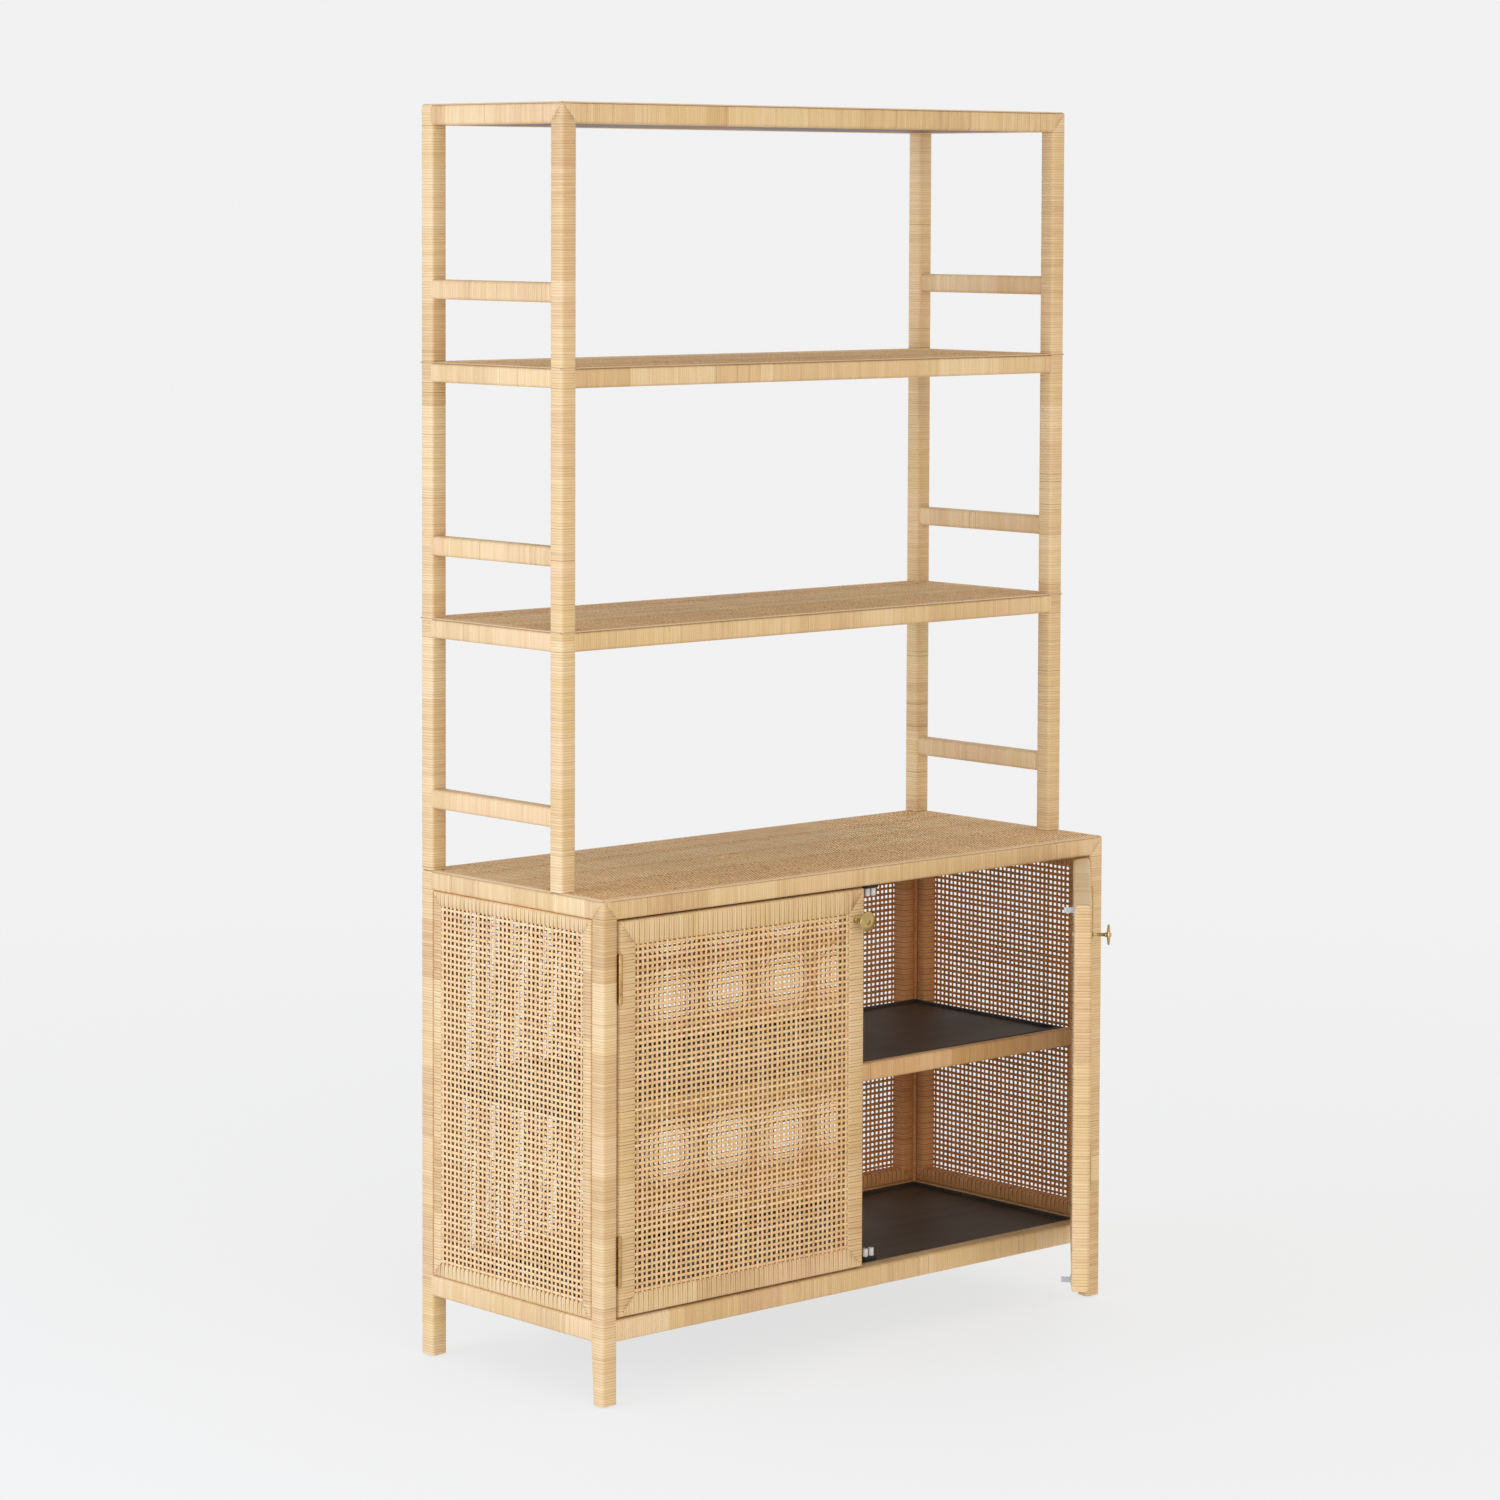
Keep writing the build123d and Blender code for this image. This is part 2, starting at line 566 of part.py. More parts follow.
def knob(label, plane, towards):
    """A turned knob: base, slim stem, collar, and a lens-shaped disc with a raised centre."""
    base = plane.from_local_coords(Vector(towards * KNOB_X, DOOR_FRONT, KNOB_Z))
    outward = plane.y_dir * -1
    up = Vector(0, 0, 1)
    profile_plane = Plane(origin=base, x_dir=up, z_dir=up.cross(outward))
    stem = KNOB_STEM_RADIUS
    flare = KNOB_BASE_RADIUS - stem
    collar_start = KNOB_DISC_BACK - KNOB_COLLAR
    rim_middle = (KNOB_DISC_BACK + KNOB_DISC_FRONT) / 2
    rim_back = (KNOB_RADIUS - KNOB_RIM, rim_middle - KNOB_RIM)
    rim_front = (KNOB_RADIUS - KNOB_RIM, rim_middle + KNOB_RIM)
    eye_rise = KNOB_PROJECTION - KNOB_DISC_FRONT
    eye_top = KNOB_EYE_RADIUS - eye_rise
    with BuildPart() as turned:
        with BuildSketch(profile_plane) as profile:
            with BuildLine():
                Polyline((0, 0), (KNOB_BASE_RADIUS, 0), (KNOB_BASE_RADIUS, KNOB_BASE))
                RadiusArc((KNOB_BASE_RADIUS, KNOB_BASE), (stem, KNOB_BASE + flare), flare)
                Polyline(
                    (stem, KNOB_BASE + flare),
                    (stem, collar_start),
                    (KNOB_COLLAR_RADIUS, collar_start),
                    (KNOB_COLLAR_RADIUS, KNOB_DISC_BACK),
                    rim_back,
                )
                ThreePointArc(rim_back, (KNOB_RADIUS, rim_middle), rim_front)
                Line(rim_front, (KNOB_EYE_RADIUS, KNOB_DISC_FRONT))
                RadiusArc((KNOB_EYE_RADIUS, KNOB_DISC_FRONT), (eye_top, KNOB_PROJECTION), -eye_rise)
                Polyline((eye_top, KNOB_PROJECTION), (0, KNOB_PROJECTION), (0, 0))
            make_face()
        revolve(profile.sketch, axis=Axis(base, outward))
        hole = KNOB_SCREW_RADIUS + PIN_CLEARANCE
        start = (towards * KNOB_X, DOOR_FRONT, KNOB_Z)
        rod(start, (0, -1, 0), hole, KNOB_HOLE, plane, Mode.SUBTRACT)
    save(turned, f"{label}_knob")


def knob_screw(label, plane, towards):
    """The machine screw that holds a knob from behind the door."""
    with BuildPart() as screw:
        start = (towards * KNOB_X, DOOR_REAR, KNOB_Z)
        rod(start, (0, -1, 0), KNOB_SCREW_RADIUS, PANEL_THICK + KNOB_THREAD, plane)
        rod(start, (0, 1, 0), KNOB_SCREW_HEAD_RADIUS, KNOB_SCREW_HEAD, plane)
    save(screw, f"{label}_knob_screw")


def strikes(label, plane, towards):
    """Strikes of a door's roller catches: plate, blade and thicker tip."""
    rear = DOOR_REAR
    nose = rear + STRIKE_REACH
    neck_half = STRIKE_NECK[0] / 2
    tip_half = STRIKE_TIP[0] / 2
    with BuildPart() as pair:
        for z in STRIKE_LEVELS.values():
            low_z = z - STRIKE_NECK[1] / 2
            high_z = z + STRIKE_NECK[1] / 2
            shapes = (
                (STRIKE_WIDTH / 2, rear, rear + STRIKE_PLATE, z - STRIKE_HEIGHT / 2, z + STRIKE_HEIGHT / 2),
                (neck_half, rear, nose, low_z, high_z),
                (tip_half, nose - STRIKE_TIP[1], nose, low_z, high_z),
            )
            for half, start, end, bottom, top in shapes:
                low = (CATCH_X - half, start, bottom)
                high = (CATCH_X + half, end, top)
                block(*across_door(low, high, towards), plane)
    save(pair, f"{label}_strikes")


# ---------------------------------------------------------------- hinges
def knuckle_spans(own):
    """Height spans of a hinge's knuckles above its foot.  own is 0 for the leg, 1 for the door."""
    length = HINGE_LENGTH / KNUCKLES
    half_gap = KNUCKLE_GAP / 2
    return [
        (i * length + half_gap, (i + 1) * length - half_gap)
        for i in range(KNUCKLES)
        if i % 2 == own
    ]


def hinge_leaves(label, plane, leaf_side, own):
    """The leaves of a door's two hinges on one side of the pin, with knuckles and screw holes."""
    near = DOOR_GAP / 2 - LEAF_THICK
    far = DOOR_GAP / 2
    with BuildPart() as leaves:
        for level in HINGE_LEVELS:
            low = (near, KNUCKLE_RADIUS + KNUCKLE_GAP, level)
            high = (far, LEAF_WIDTH, level + HINGE_LENGTH)
            block(*across_door(low, high, leaf_side), plane)
            for bottom, top in knuckle_spans(own):
                rod((0, 0, level + bottom), (0, 0, 1), KNUCKLE_RADIUS, top - bottom, plane)
                tongue = ((near, 0, level + bottom), (far, LEAF_TONGUE, level + top))
                block(*across_door(*tongue, leaf_side), plane)
            bore = PIN_RADIUS + PIN_CLEARANCE
            rod((0, 0, level), (0, 0, 1), bore, HINGE_LENGTH, plane, Mode.SUBTRACT)
            for back, z in hinge_screw_places(level):
                start = (leaf_side * near, back, z)
                along = (leaf_side, 0, 0)
                shank = SCREW_RADIUS + PIN_CLEARANCE
                head = SCREW_HEAD_RADIUS + PIN_CLEARANCE
                rod(start, along, shank, LEAF_THICK, plane, Mode.SUBTRACT)
                rod(start, along, head, SCREW_RECESS, plane, Mode.SUBTRACT)
    save(leaves, label)


def add_hinge_screws(plane, leaf_side):
    """Countersunk screws of one side of a door's two hinges."""
    near = DOOR_GAP / 2 - LEAF_THICK
    for level in HINGE_LEVELS:
        for back, z in hinge_screw_places(level):
            along = (leaf_side, 0, 0)
            start = (leaf_side * near, back, z)
            rod(start, along, SCREW_HEAD_RADIUS, SCREW_RECESS, plane)
            rod(start, along, SCREW_RADIUS, SCREW_LENGTH, plane)


def hinge_pins(label, plane):
    """The pins of a door's two hinges, with a button head at each end."""
    with BuildPart() as pins:
        for level in HINGE_LEVELS:
            start = (0, 0, level - PIN_HEAD / 2)
            rod(start, (0, 0, 1), PIN_RADIUS, HINGE_LENGTH + PIN_HEAD, plane)
            for end, direction in ((level, -1), (level + HINGE_LENGTH, 1)):
                rod((0, 0, end), (0, 0, direction), PIN_HEAD_RADIUS, PIN_HEAD, plane)
    save(pins, label)


SWINGS = {"left": 0.0, "right": RIGHT_DOOR_SWING}
for side_name, side in SIDES.items():
    towards = -side
    closed_plane = door_plane(side, 0)
    plane = door_plane(side, SWINGS[side_name])
    door_label = f"door_{side_name}"
    door_frame(door_label, plane, towards)
    knob(door_label, plane, towards)
    knob_screw(door_label, plane, towards)
    strikes(door_label, plane, towards)
    hinge_leaves(f"hinge_{side_name}_leg_leaves", closed_plane, -towards, own=0)
    hinge_leaves(f"hinge_{side_name}_door_leaves", plane, towards, own=1)
    hinge_pins(f"hinge_{side_name}_pins", closed_plane)
    with BuildPart() as door_screws:
        add_hinge_screws(plane, towards)
    save(door_screws, f"hinge_{side_name}_door_screws")

with BuildPart() as leg_screws:
    for side in SIDES.values():
        add_hinge_screws(door_plane(side, 0), side)
save(leg_screws, "hinge_leg_screws")


# ---------------------------------------------------------------- roller catches
# Seat of each catch: the level of the surface it is screwed to, and the way it points from there.
CATCH_SEATS = ((CABINET_RAIL_BOTTOM, -1), (FLOOR_BOARD_TOP, 1))


def roller_span(seat, points):
    """Height span of a catch's rollers, centred on the strike of the same level."""
    middle = STRIKE_LEVELS["top"] if points < 0 else STRIKE_LEVELS["bottom"]
    return middle - ROLLER_LENGTH / 2, middle + ROLLER_LENGTH / 2


def upright(x_span, y_span, a, b):
    """A box between two heights given in either order."""
    block((x_span[0], y_span[0], min(a, b)), (x_span[1], y_span[1], max(a, b)))


with BuildPart() as catch_brackets:
    catch_rear = CATCH_FRONT + CATCH_DEPTH
    for side in SIDES.values():
        x = side * CATCH_FROM_CENTRE
        x_span = (x - CATCH_WIDTH / 2, x + CATCH_WIDTH / 2)
        for seat, points in CATCH_SEATS:
            low_end, high_end = roller_span(seat, points)
            far_end = low_end if points < 0 else high_end
            near_end = high_end if points < 0 else low_end
            shelf = near_end - points * ROLLER_PLAY
            upright(x_span, (CATCH_FRONT, catch_rear), seat, shelf)
            upright(x_span, (catch_rear - CATCH_WALL, catch_rear), seat, far_end)
            for offset in (-ROLLER_SPACING / 2, ROLLER_SPACING / 2):
                start = (x + offset, ROLLER_Y, shelf)
                rod(start, (0, 0, points), ROLLER_PIN_RADIUS, abs(far_end - shelf))
save(catch_brackets, "catch_brackets")

with BuildPart() as catch_rollers:
    for side in SIDES.values():
        for seat, points in CATCH_SEATS:
            low_end, high_end = roller_span(seat, points)
            for offset in (-ROLLER_SPACING / 2, ROLLER_SPACING / 2):
                start = (side * CATCH_FROM_CENTRE + offset, ROLLER_Y, low_end)
                rod(start, (0, 0, 1), ROLLER_RADIUS, ROLLER_LENGTH)
                bore = ROLLER_PIN_RADIUS + PIN_CLEARANCE
                rod(start, (0, 0, 1), bore, ROLLER_LENGTH, mode=Mode.SUBTRACT)
save(catch_rollers, "catch_rollers")
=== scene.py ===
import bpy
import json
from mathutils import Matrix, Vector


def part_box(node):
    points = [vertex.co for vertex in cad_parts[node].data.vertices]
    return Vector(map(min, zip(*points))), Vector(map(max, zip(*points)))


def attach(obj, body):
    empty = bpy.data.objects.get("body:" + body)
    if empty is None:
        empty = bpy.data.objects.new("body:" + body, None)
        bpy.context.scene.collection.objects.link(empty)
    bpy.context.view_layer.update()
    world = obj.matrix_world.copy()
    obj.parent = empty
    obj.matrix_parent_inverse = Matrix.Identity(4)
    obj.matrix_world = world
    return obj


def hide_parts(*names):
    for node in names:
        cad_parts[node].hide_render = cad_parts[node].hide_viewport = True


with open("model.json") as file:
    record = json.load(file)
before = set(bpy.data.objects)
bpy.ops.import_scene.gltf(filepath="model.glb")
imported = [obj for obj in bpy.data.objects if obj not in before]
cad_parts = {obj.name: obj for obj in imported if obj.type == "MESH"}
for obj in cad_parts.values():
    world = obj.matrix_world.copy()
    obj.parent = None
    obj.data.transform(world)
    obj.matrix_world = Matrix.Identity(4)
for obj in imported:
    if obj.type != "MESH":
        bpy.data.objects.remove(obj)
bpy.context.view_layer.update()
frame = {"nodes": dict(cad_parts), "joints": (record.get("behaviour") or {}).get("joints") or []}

# The looks of a rattan-wrapped storage cabinet: winding, woven cane, twill mats, boards and brass.
# Lengths are in metres, in the row frame: +X right, +Y back, +Z up, origin on the floor.
import json
import math

import bmesh
import bpy
import numpy as np
from mathutils import Matrix, Vector

MM = 0.001
SIDES = {"left": -1, "right": 1}


# ---------------- camera, stage and light
def add_camera():
    """A long lens at the front-left, a little above the middle, with a lowered picture."""
    data = bpy.data.cameras.new("camera")
    data.sensor_width = 36.0
    data.lens = 109.36
    data.shift_x = -0.0029
    data.shift_y = -0.1841
    camera = bpy.data.objects.new("camera", data)
    camera.location = (-5.3477, -5.8368, 1.9764)
    yaw = math.radians(-42.2625)
    pitch = math.radians(-3.4526)
    roll = math.radians(0.2191)
    turn = Matrix.Rotation(yaw, 4, "Z") @ Matrix.Rotation(math.pi / 2 + pitch, 4, "X")
    camera.rotation_euler = (turn @ Matrix.Rotation(roll, 4, "Z")).to_euler()
    bpy.context.collection.objects.link(camera)
    bpy.context.scene.camera = camera


def add_stage():
    """A pale floor with a faint shadow, fading into an even pale surrounding, and soft lights."""
    scene = bpy.context.scene
    scene.view_settings.view_transform = "Standard"
    pale, white, glow_share = 0.885, 0.82, 0.81
    world = bpy.data.worlds.new("studio")
    world.use_nodes = True
    background = world.node_tree.nodes["Background"]
    background.inputs["Color"].default_value = (pale, pale, pale, 1)
    background.inputs["Strength"].default_value = 1.0
    scene.world = world

    inner, outer, rings, sides = 1.2, 6.0, 24, 96
    radii = np.linspace(0.0, outer, rings)
    verts = [(0, 0, 0)]
    for radius in radii[1:]:
        for i in range(sides):
            angle = 2 * math.pi * i / sides
            verts.append((radius * math.cos(angle), radius * math.sin(angle), 0))
    faces = [(0, 1 + i, 1 + (i + 1) % sides) for i in range(sides)]
    for ring in range(rings - 2):
        base = 1 + ring * sides
        for i in range(sides):
            j = (i + 1) % sides
            faces.append((base + i, base + sides + i, base + sides + j, base + j))
    mesh = bpy.data.meshes.new("floor")
    mesh.from_pydata(verts, [], faces)
    floor = bpy.data.objects.new("floor", mesh)
    bpy.context.collection.objects.link(floor)

    # Mostly the surrounding's own brightness, with some plain white that takes the shadow.
    material = bpy.data.materials.new("floor")
    material.use_nodes = True
    tree = material.node_tree
    tree.nodes.clear()
    output = tree.nodes.new("ShaderNodeOutputMaterial")
    edge = tree.nodes.new("ShaderNodeMixShader")
    body = tree.nodes.new("ShaderNodeMixShader")
    body.inputs["Fac"].default_value = glow_share
    solid = tree.nodes.new("ShaderNodeBsdfDiffuse")
    solid.inputs["Color"].default_value = (white, white, white, 1)
    glow = tree.nodes.new("ShaderNodeEmission")
    glow.inputs["Color"].default_value = (pale, pale, pale, 1)
    clear = tree.nodes.new("ShaderNodeBsdfTransparent")
    place = tree.nodes.new("ShaderNodeTexCoord")
    length = tree.nodes.new("ShaderNodeVectorMath")
    length.operation = "LENGTH"
    fade = tree.nodes.new("ShaderNodeMapRange")
    fade.interpolation_type = "SMOOTHSTEP"
    fade.inputs["From Min"].default_value = inner
    fade.inputs["From Max"].default_value = outer - 0.5
    tree.links.new(place.outputs["Object"], length.inputs[0])
    tree.links.new(length.outputs["Value"], fade.inputs["Value"])
    tree.links.new(fade.outputs["Result"], edge.inputs["Fac"])
    tree.links.new(solid.outputs["BSDF"], body.inputs[1])
    tree.links.new(glow.outputs["Emission"], body.inputs[2])
    tree.links.new(body.outputs["Shader"], edge.inputs[1])
    tree.links.new(clear.outputs["BSDF"], edge.inputs[2])
    tree.links.new(edge.outputs["Shader"], output.inputs["Surface"])
    mesh.materials.append(material)

    def area_light(name, place, target, size, power, colour):
        data = bpy.data.lights.new(name, "AREA")
        data.shape = "SQUARE"
        data.size = size
        data.energy = power
        data.color = colour
        light = bpy.data.objects.new(name, data)
        light.location = place
        aim = Vector(target) - Vector(place)
        light.rotation_euler = aim.to_track_quat("-Z", "Y").to_euler()
        bpy.context.collection.objects.link(light)

    area_light("key", (-5.2, 0.6, 1.5), (0, 0, 1.0), 3.0, 132, (0.84, 1.04, 1.46))
    area_light("fill", (-2.6, -5.8, 2.0), (0, 0, 0.8), 3.2, 112, (1.0, 0.97, 0.92))


add_camera()
add_stage()


# ---------------- node helpers
class Nodes:
    """A material's node tree with a Principled shader, built by short calls."""

    def __init__(self, name):
        self.material = bpy.data.materials.new(name)
        self.material.use_nodes = True
        self.tree = self.material.node_tree
        self.shader = self.tree.nodes["Principled BSDF"]

    def add(self, kind, **settings):
        node = self.tree.nodes.new(kind)
        for key, value in settings.items():
            setattr(node, key, value)
        return node

    def put(self, socket, value):
        """Links or sets one input."""
        if isinstance(value, bpy.types.NodeSocket):
            self.tree.links.new(value, socket)
        else:
            socket.default_value = value

    def attribute(self, name, output="Fac"):
        return self.add("ShaderNodeAttribute", attribute_name=name).outputs[output]

    def math(self, operation, a, b=0.0, c=0.0, clamp=False):
        node = self.add("ShaderNodeMath", operation=operation, use_clamp=clamp)
        for socket, value in zip(node.inputs, (a, b, c)):
            self.put(socket, value)
        return node.outputs[0]

    def scaled(self, vector, scale):
        node = self.add("ShaderNodeVectorMath", operation="MULTIPLY")
        self.put(node.inputs[0], vector)
        node.inputs[1].default_value = scale
        return node.outputs[0]

    def noise(self, vector, scale=1.0, detail=2.0, roughness=0.5):
        node = self.add("ShaderNodeTexNoise")
        self.put(node.inputs["Vector"], vector)
        node.inputs["Scale"].default_value = scale
        node.inputs["Detail"].default_value = detail
        node.inputs["Roughness"].default_value = roughness
        return node.outputs["Fac"]

    def ramp(self, factor, stops):
        node = self.add("ShaderNodeValToRGB")
        elements = node.color_ramp.elements
        while len(elements) < len(stops):
            elements.new(0.5)
        for element, (position, colour) in zip(elements, stops):
            element.position = position
            element.color = (*colour, 1)
        self.put(node.inputs["Fac"], factor)
        return node.outputs["Color"]

    def mix(self, factor, a, b, blend="MIX"):
        node = self.add("ShaderNodeMix", data_type="RGBA", blend_type=blend, clamp_result=True)
        self.put(node.inputs["Factor"], factor)
        for socket, value in ((node.inputs[6], a), (node.inputs[7], b)):
            self.put(socket, (*value, 1) if isinstance(value, tuple) else value)
        return node.outputs[2]

    def range(self, value, low, high, to_low=0.0, to_high=1.0):
        node = self.add("ShaderNodeMapRange")
        self.put(node.inputs["Value"], value)
        limits = {"From Min": low, "From Max": high, "To Min": to_low, "To Max": to_high}
        for key, number in limits.items():
            node.inputs[key].default_value = number
        return node.outputs["Result"]

    def finish(self, colour, roughness, height, depth, **uniform):
        """The material, with a relief of some depth and uniform values for other inputs."""
        self.put(self.shader.inputs["Base Color"], colour)
        self.put(self.shader.inputs["Roughness"], roughness)
        for name, value in uniform.items():
            self.shader.inputs[name].default_value = value
        bump = self.add("ShaderNodeBump")
        bump.inputs["Strength"].default_value = 1.0
        bump.inputs["Distance"].default_value = depth
        self.put(bump.inputs["Height"], height)
        self.put(self.shader.inputs["Normal"], bump.outputs["Normal"])
        return self.material


NODE_MARK = (0.14, 0.06, 0.025)     # colour of the small dark nodes of rattan


def rattan(name, dark, middle, light, pink, straw, groove, shade_tint=(1, 1, 1)):
    """Split rattan: colour by strip, fibres along it, small dark nodes, dark gaps beside it.

    Attributes: tone and hue by strip, gap (0 on a strip, 1 in a gap), inner (1 on the faces that
    line the cabinet, which take painted shade: a darker, redder tint), strand = (along, across, id).
    """
    n = Nodes(name)
    tone = n.attribute("tone")
    hue = n.attribute("hue")
    gap = n.attribute("gap")
    inner = n.attribute("inner")
    strand = n.attribute("strand", "Vector")
    slow = n.noise(n.scaled(strand, (9, 60, 3)), detail=2)
    fibre = n.noise(n.scaled(strand, (25, 2600, 7)), detail=3, roughness=0.6)
    cloud = n.noise(n.scaled(strand, (60, 200, 5)), detail=2)
    level = n.math("MULTIPLY_ADD", tone, 0.5, 0.5)
    level = n.math("ADD", level, n.range(slow, 0.25, 0.75, -0.14, 0.14))
    level = n.math("ADD", level, n.range(fibre, 0.2, 0.8, -0.12, 0.12), clamp=True)
    colour = n.ramp(level, [(0.0, dark), (0.5, middle), (1.0, light)])
    cast = n.math("ADD", hue, n.range(cloud, 0.3, 0.7, -0.4, 0.4))
    warm = n.range(cast, 0.2, 1.2, 0.0, 0.75)
    green = n.range(cast, -0.2, -1.2, 0.0, 0.7)
    colour = n.mix(warm, colour, n.mix(0.55, colour, pink))
    colour = n.mix(green, colour, n.mix(0.55, colour, straw))
    spots = n.noise(n.scaled(strand, (260, 620, 31)), detail=1)
    rare = n.noise(n.scaled(strand, (35, 140, 11)), detail=0)
    mark = n.math("MULTIPLY", n.range(spots, 0.70, 0.80), n.range(rare, 0.56, 0.66), clamp=True)
    colour = n.mix(n.math("MULTIPLY", mark, 0.6), colour, NODE_MARK)
    # Painted shade: on the faces inside the cabinet the colour is multiplied by a darker, redder tint.
    browned = n.mix(1.0, colour, shade_tint, blend="MULTIPLY")
    colour = n.mix(inner, colour, browned)
    colour = n.mix(gap, colour, groove)
    roughness = n.range(fibre, 0.2, 0.8, 0.42, 0.62)
    return n.finish(colour, roughness, height=fibre, depth=0.00012)


WRAP = rattan(
    "rattan_wrap",
    dark=(0.45, 0.25, 0.105),
    middle=(0.65, 0.44, 0.215),
    light=(0.78, 0.61, 0.365),
    pink=(0.72, 0.45, 0.27),
    straw=(0.66, 0.45, 0.165),
    groove=(0.22, 0.105, 0.030),
    # tint of the painted shade inside the cabinet
    shade_tint=(1.10, 0.76, 0.55),
)
CANE = rattan(
    "woven_cane",
    dark=(0.47, 0.25, 0.10),
    middle=(0.72, 0.46, 0.215),
    light=(0.84, 0.61, 0.34),
    pink=(0.78, 0.47, 0.28),
    straw=(0.70, 0.47, 0.18),
    groove=(0.17, 0.062, 0.016),
    # tint of the painted shade inside the cabinet
    shade_tint=(0.92, 0.60, 0.33),
)
MAT = rattan(
    "twill_mat",
    dark=(0.26, 0.12, 0.042),
    middle=(0.92, 0.55, 0.25),
    light=(1.0, 0.80, 0.45),
    pink=(0.96, 0.52, 0.27),
    straw=(0.90, 0.60, 0.26),
    groove=(0.13, 0.055, 0.02),
)
MAT_EDGE = rattan(
    "mat_edging",
    dark=(0.50, 0.30, 0.14),
    middle=(0.72, 0.50, 0.28),
    light=(0.84, 0.64, 0.40),
    pink=(0.74, 0.46, 0.29),
    straw=(0.68, 0.52, 0.27),
    groove=(0.16, 0.07, 0.025),
)


def stained_board(name, dark, middle, light):
    """Stained boards, with a faint grain and a low, uneven sheen."""
    n = Nodes(name)
    place = n.add("ShaderNodeTexCoord").outputs["Object"]
    grain = n.noise(n.scaled(place, (3, 160, 160)), detail=5, roughness=0.6)
    cloud = n.noise(place, scale=5, detail=3)
    level = n.math("ADD", n.range(cloud, 0.3, 0.7, -0.25, 0.25), grain)
    colour = n.ramp(level, [(0.2, dark), (0.5, middle), (0.9, light)])
    return n.finish(colour, n.range(cloud, 0.3, 0.7, 0.38, 0.55), height=grain, depth=0.0002)


def brass(name, dull, bright):
    """Satin brass with a faint turned grain and slightly duller patches."""
    n = Nodes(name)
    place = n.add("ShaderNodeTexCoord").outputs["Object"]
    fine = n.noise(place, scale=900, detail=2)
    patch = n.noise(place, scale=60, detail=3)
    colour = n.ramp(patch, [(0.3, dull), (0.7, bright)])
    roughness = n.math("ADD", n.range(patch, 0.3, 0.7, 0.24, 0.36), n.range(fine, 0.3, 0.7, -0.04, 0.04))
    return n.finish(colour, roughness, height=fine, depth=0.00003, Metallic=1.0)


def plain(name, low, high, roughness, metallic=0.0):
    """A moulded, painted or plated surface: fine mottling between two colours."""
    n = Nodes(name)
    place = n.add("ShaderNodeTexCoord").outputs["Object"]
    mottle = n.noise(place, scale=400, detail=3)
    colour = n.ramp(mottle, [(0.3, low), (0.7, high)])
    rough = n.range(mottle, 0.3, 0.7, roughness - 0.06, roughness + 0.06)
    return n.finish(colour, rough, height=mottle, depth=0.00005, Metallic=metallic)


DARK_BOARD = stained_board(
    "dark_board", (0.024, 0.019, 0.014), (0.050, 0.041, 0.030), (0.096, 0.078, 0.057)
)
BROWN_BOARD = stained_board("brown_board", (0.07, 0.022, 0.010), (0.11, 0.036, 0.017), (0.16, 0.06, 0.03))
BRASS = brass("knob_brass", (0.44, 0.31, 0.12), (0.60, 0.45, 0.20))
HINGE_BRASS = brass("hinge_brass", (0.46, 0.28, 0.11), (0.60, 0.39, 0.165))
BLACK = plain("catch_black", (0.016, 0.015, 0.014), (0.035, 0.033, 0.031), 0.42)
ROLLER = plain("roller_white", (0.72, 0.71, 0.68), (0.84, 0.83, 0.80), 0.38)
ZINC = plain("strike_zinc", (0.42, 0.44, 0.46), (0.58, 0.60, 0.62), 0.36, metallic=0.6)
STEEL = plain("screw_steel", (0.50, 0.47, 0.40), (0.66, 0.62, 0.54), 0.34, metallic=1.0)
FOOT = plain("foot_brown", (0.20, 0.115, 0.06), (0.32, 0.20, 0.11), 0.6)
DOWEL = plain("dowel_wood", (0.58, 0.42, 0.24), (0.70, 0.53, 0.33), 0.6)


# ---------------- mesh arrays
FACE_VALUES = ("tone", "hue", "gap", "inner")
PART_FIELDS = ("totals", *FACE_VALUES, "strand")


class Part:
    """Faces as arrays of any shape.  By face: tone, hue, gap, inner.  By corner: strand."""

    def __init__(self, verts, faces, tone=0.0, hue=0.0, gap=0.0, strand=None):
        faces = np.asarray(faces)
        corners = faces.shape[-1]
        count = faces.size // corners
        self.verts = np.asarray(verts, float).reshape(-1, 3)
        self.loops = faces.ravel()
        self.totals = np.full(count, corners)
        for key, value in zip(FACE_VALUES, (tone, hue, gap, 0.0)):
            setattr(self, key, np.broadcast_to(np.ravel(value), count).astype(float))
        if strand is None:
            strand = self.verts[self.loops]
        self.strand = np.asarray(strand, float).reshape(-1, 3)

    def moved(self, matrix):
        """The same part placed by a 4x4 matrix; a mirroring matrix turns the faces over too."""
        matrix = np.array(matrix)
        self.verts = self.verts @ matrix[:3, :3].T + matrix[:3, 3]
        if np.linalg.det(matrix[:3, :3]) < 0:
            self.turned_over()
        return self

    def starts(self):
        """The first corner of every face."""
        return np.concatenate([[0], np.cumsum(self.totals)[:-1]])

    def turned_over(self):
        spans = zip(self.starts(), self.totals)
        order = np.concatenate([np.arange(s + t - 1, s - 1, -1) for s, t in spans])
        self.loops = self.loops[order]
        self.strand = self.strand[order]
        return self

    def with_faces(self, other):
        """The same part with another part's faces, which use the same points."""
        self.loops = np.concatenate([self.loops, other.loops])
        for name in PART_FIELDS:
            setattr(self, name, np.concatenate([getattr(self, name), getattr(other, name)]))
        return self

    def face_frames(self):
        """Middle and unit normal of every face."""
        starts = self.starts()
        corners = self.verts[self.loops]
        middle = np.add.reduceat(corners, starts, axis=0) / self.totals[:, None]
        middle_corner = corners[starts + 1]
        normal = np.cross(middle_corner - corners[starts], corners[starts + 2] - middle_corner)
        length = np.linalg.norm(normal, axis=1, keepdims=True)
        return middle, normal / np.maximum(length, 1e-12)


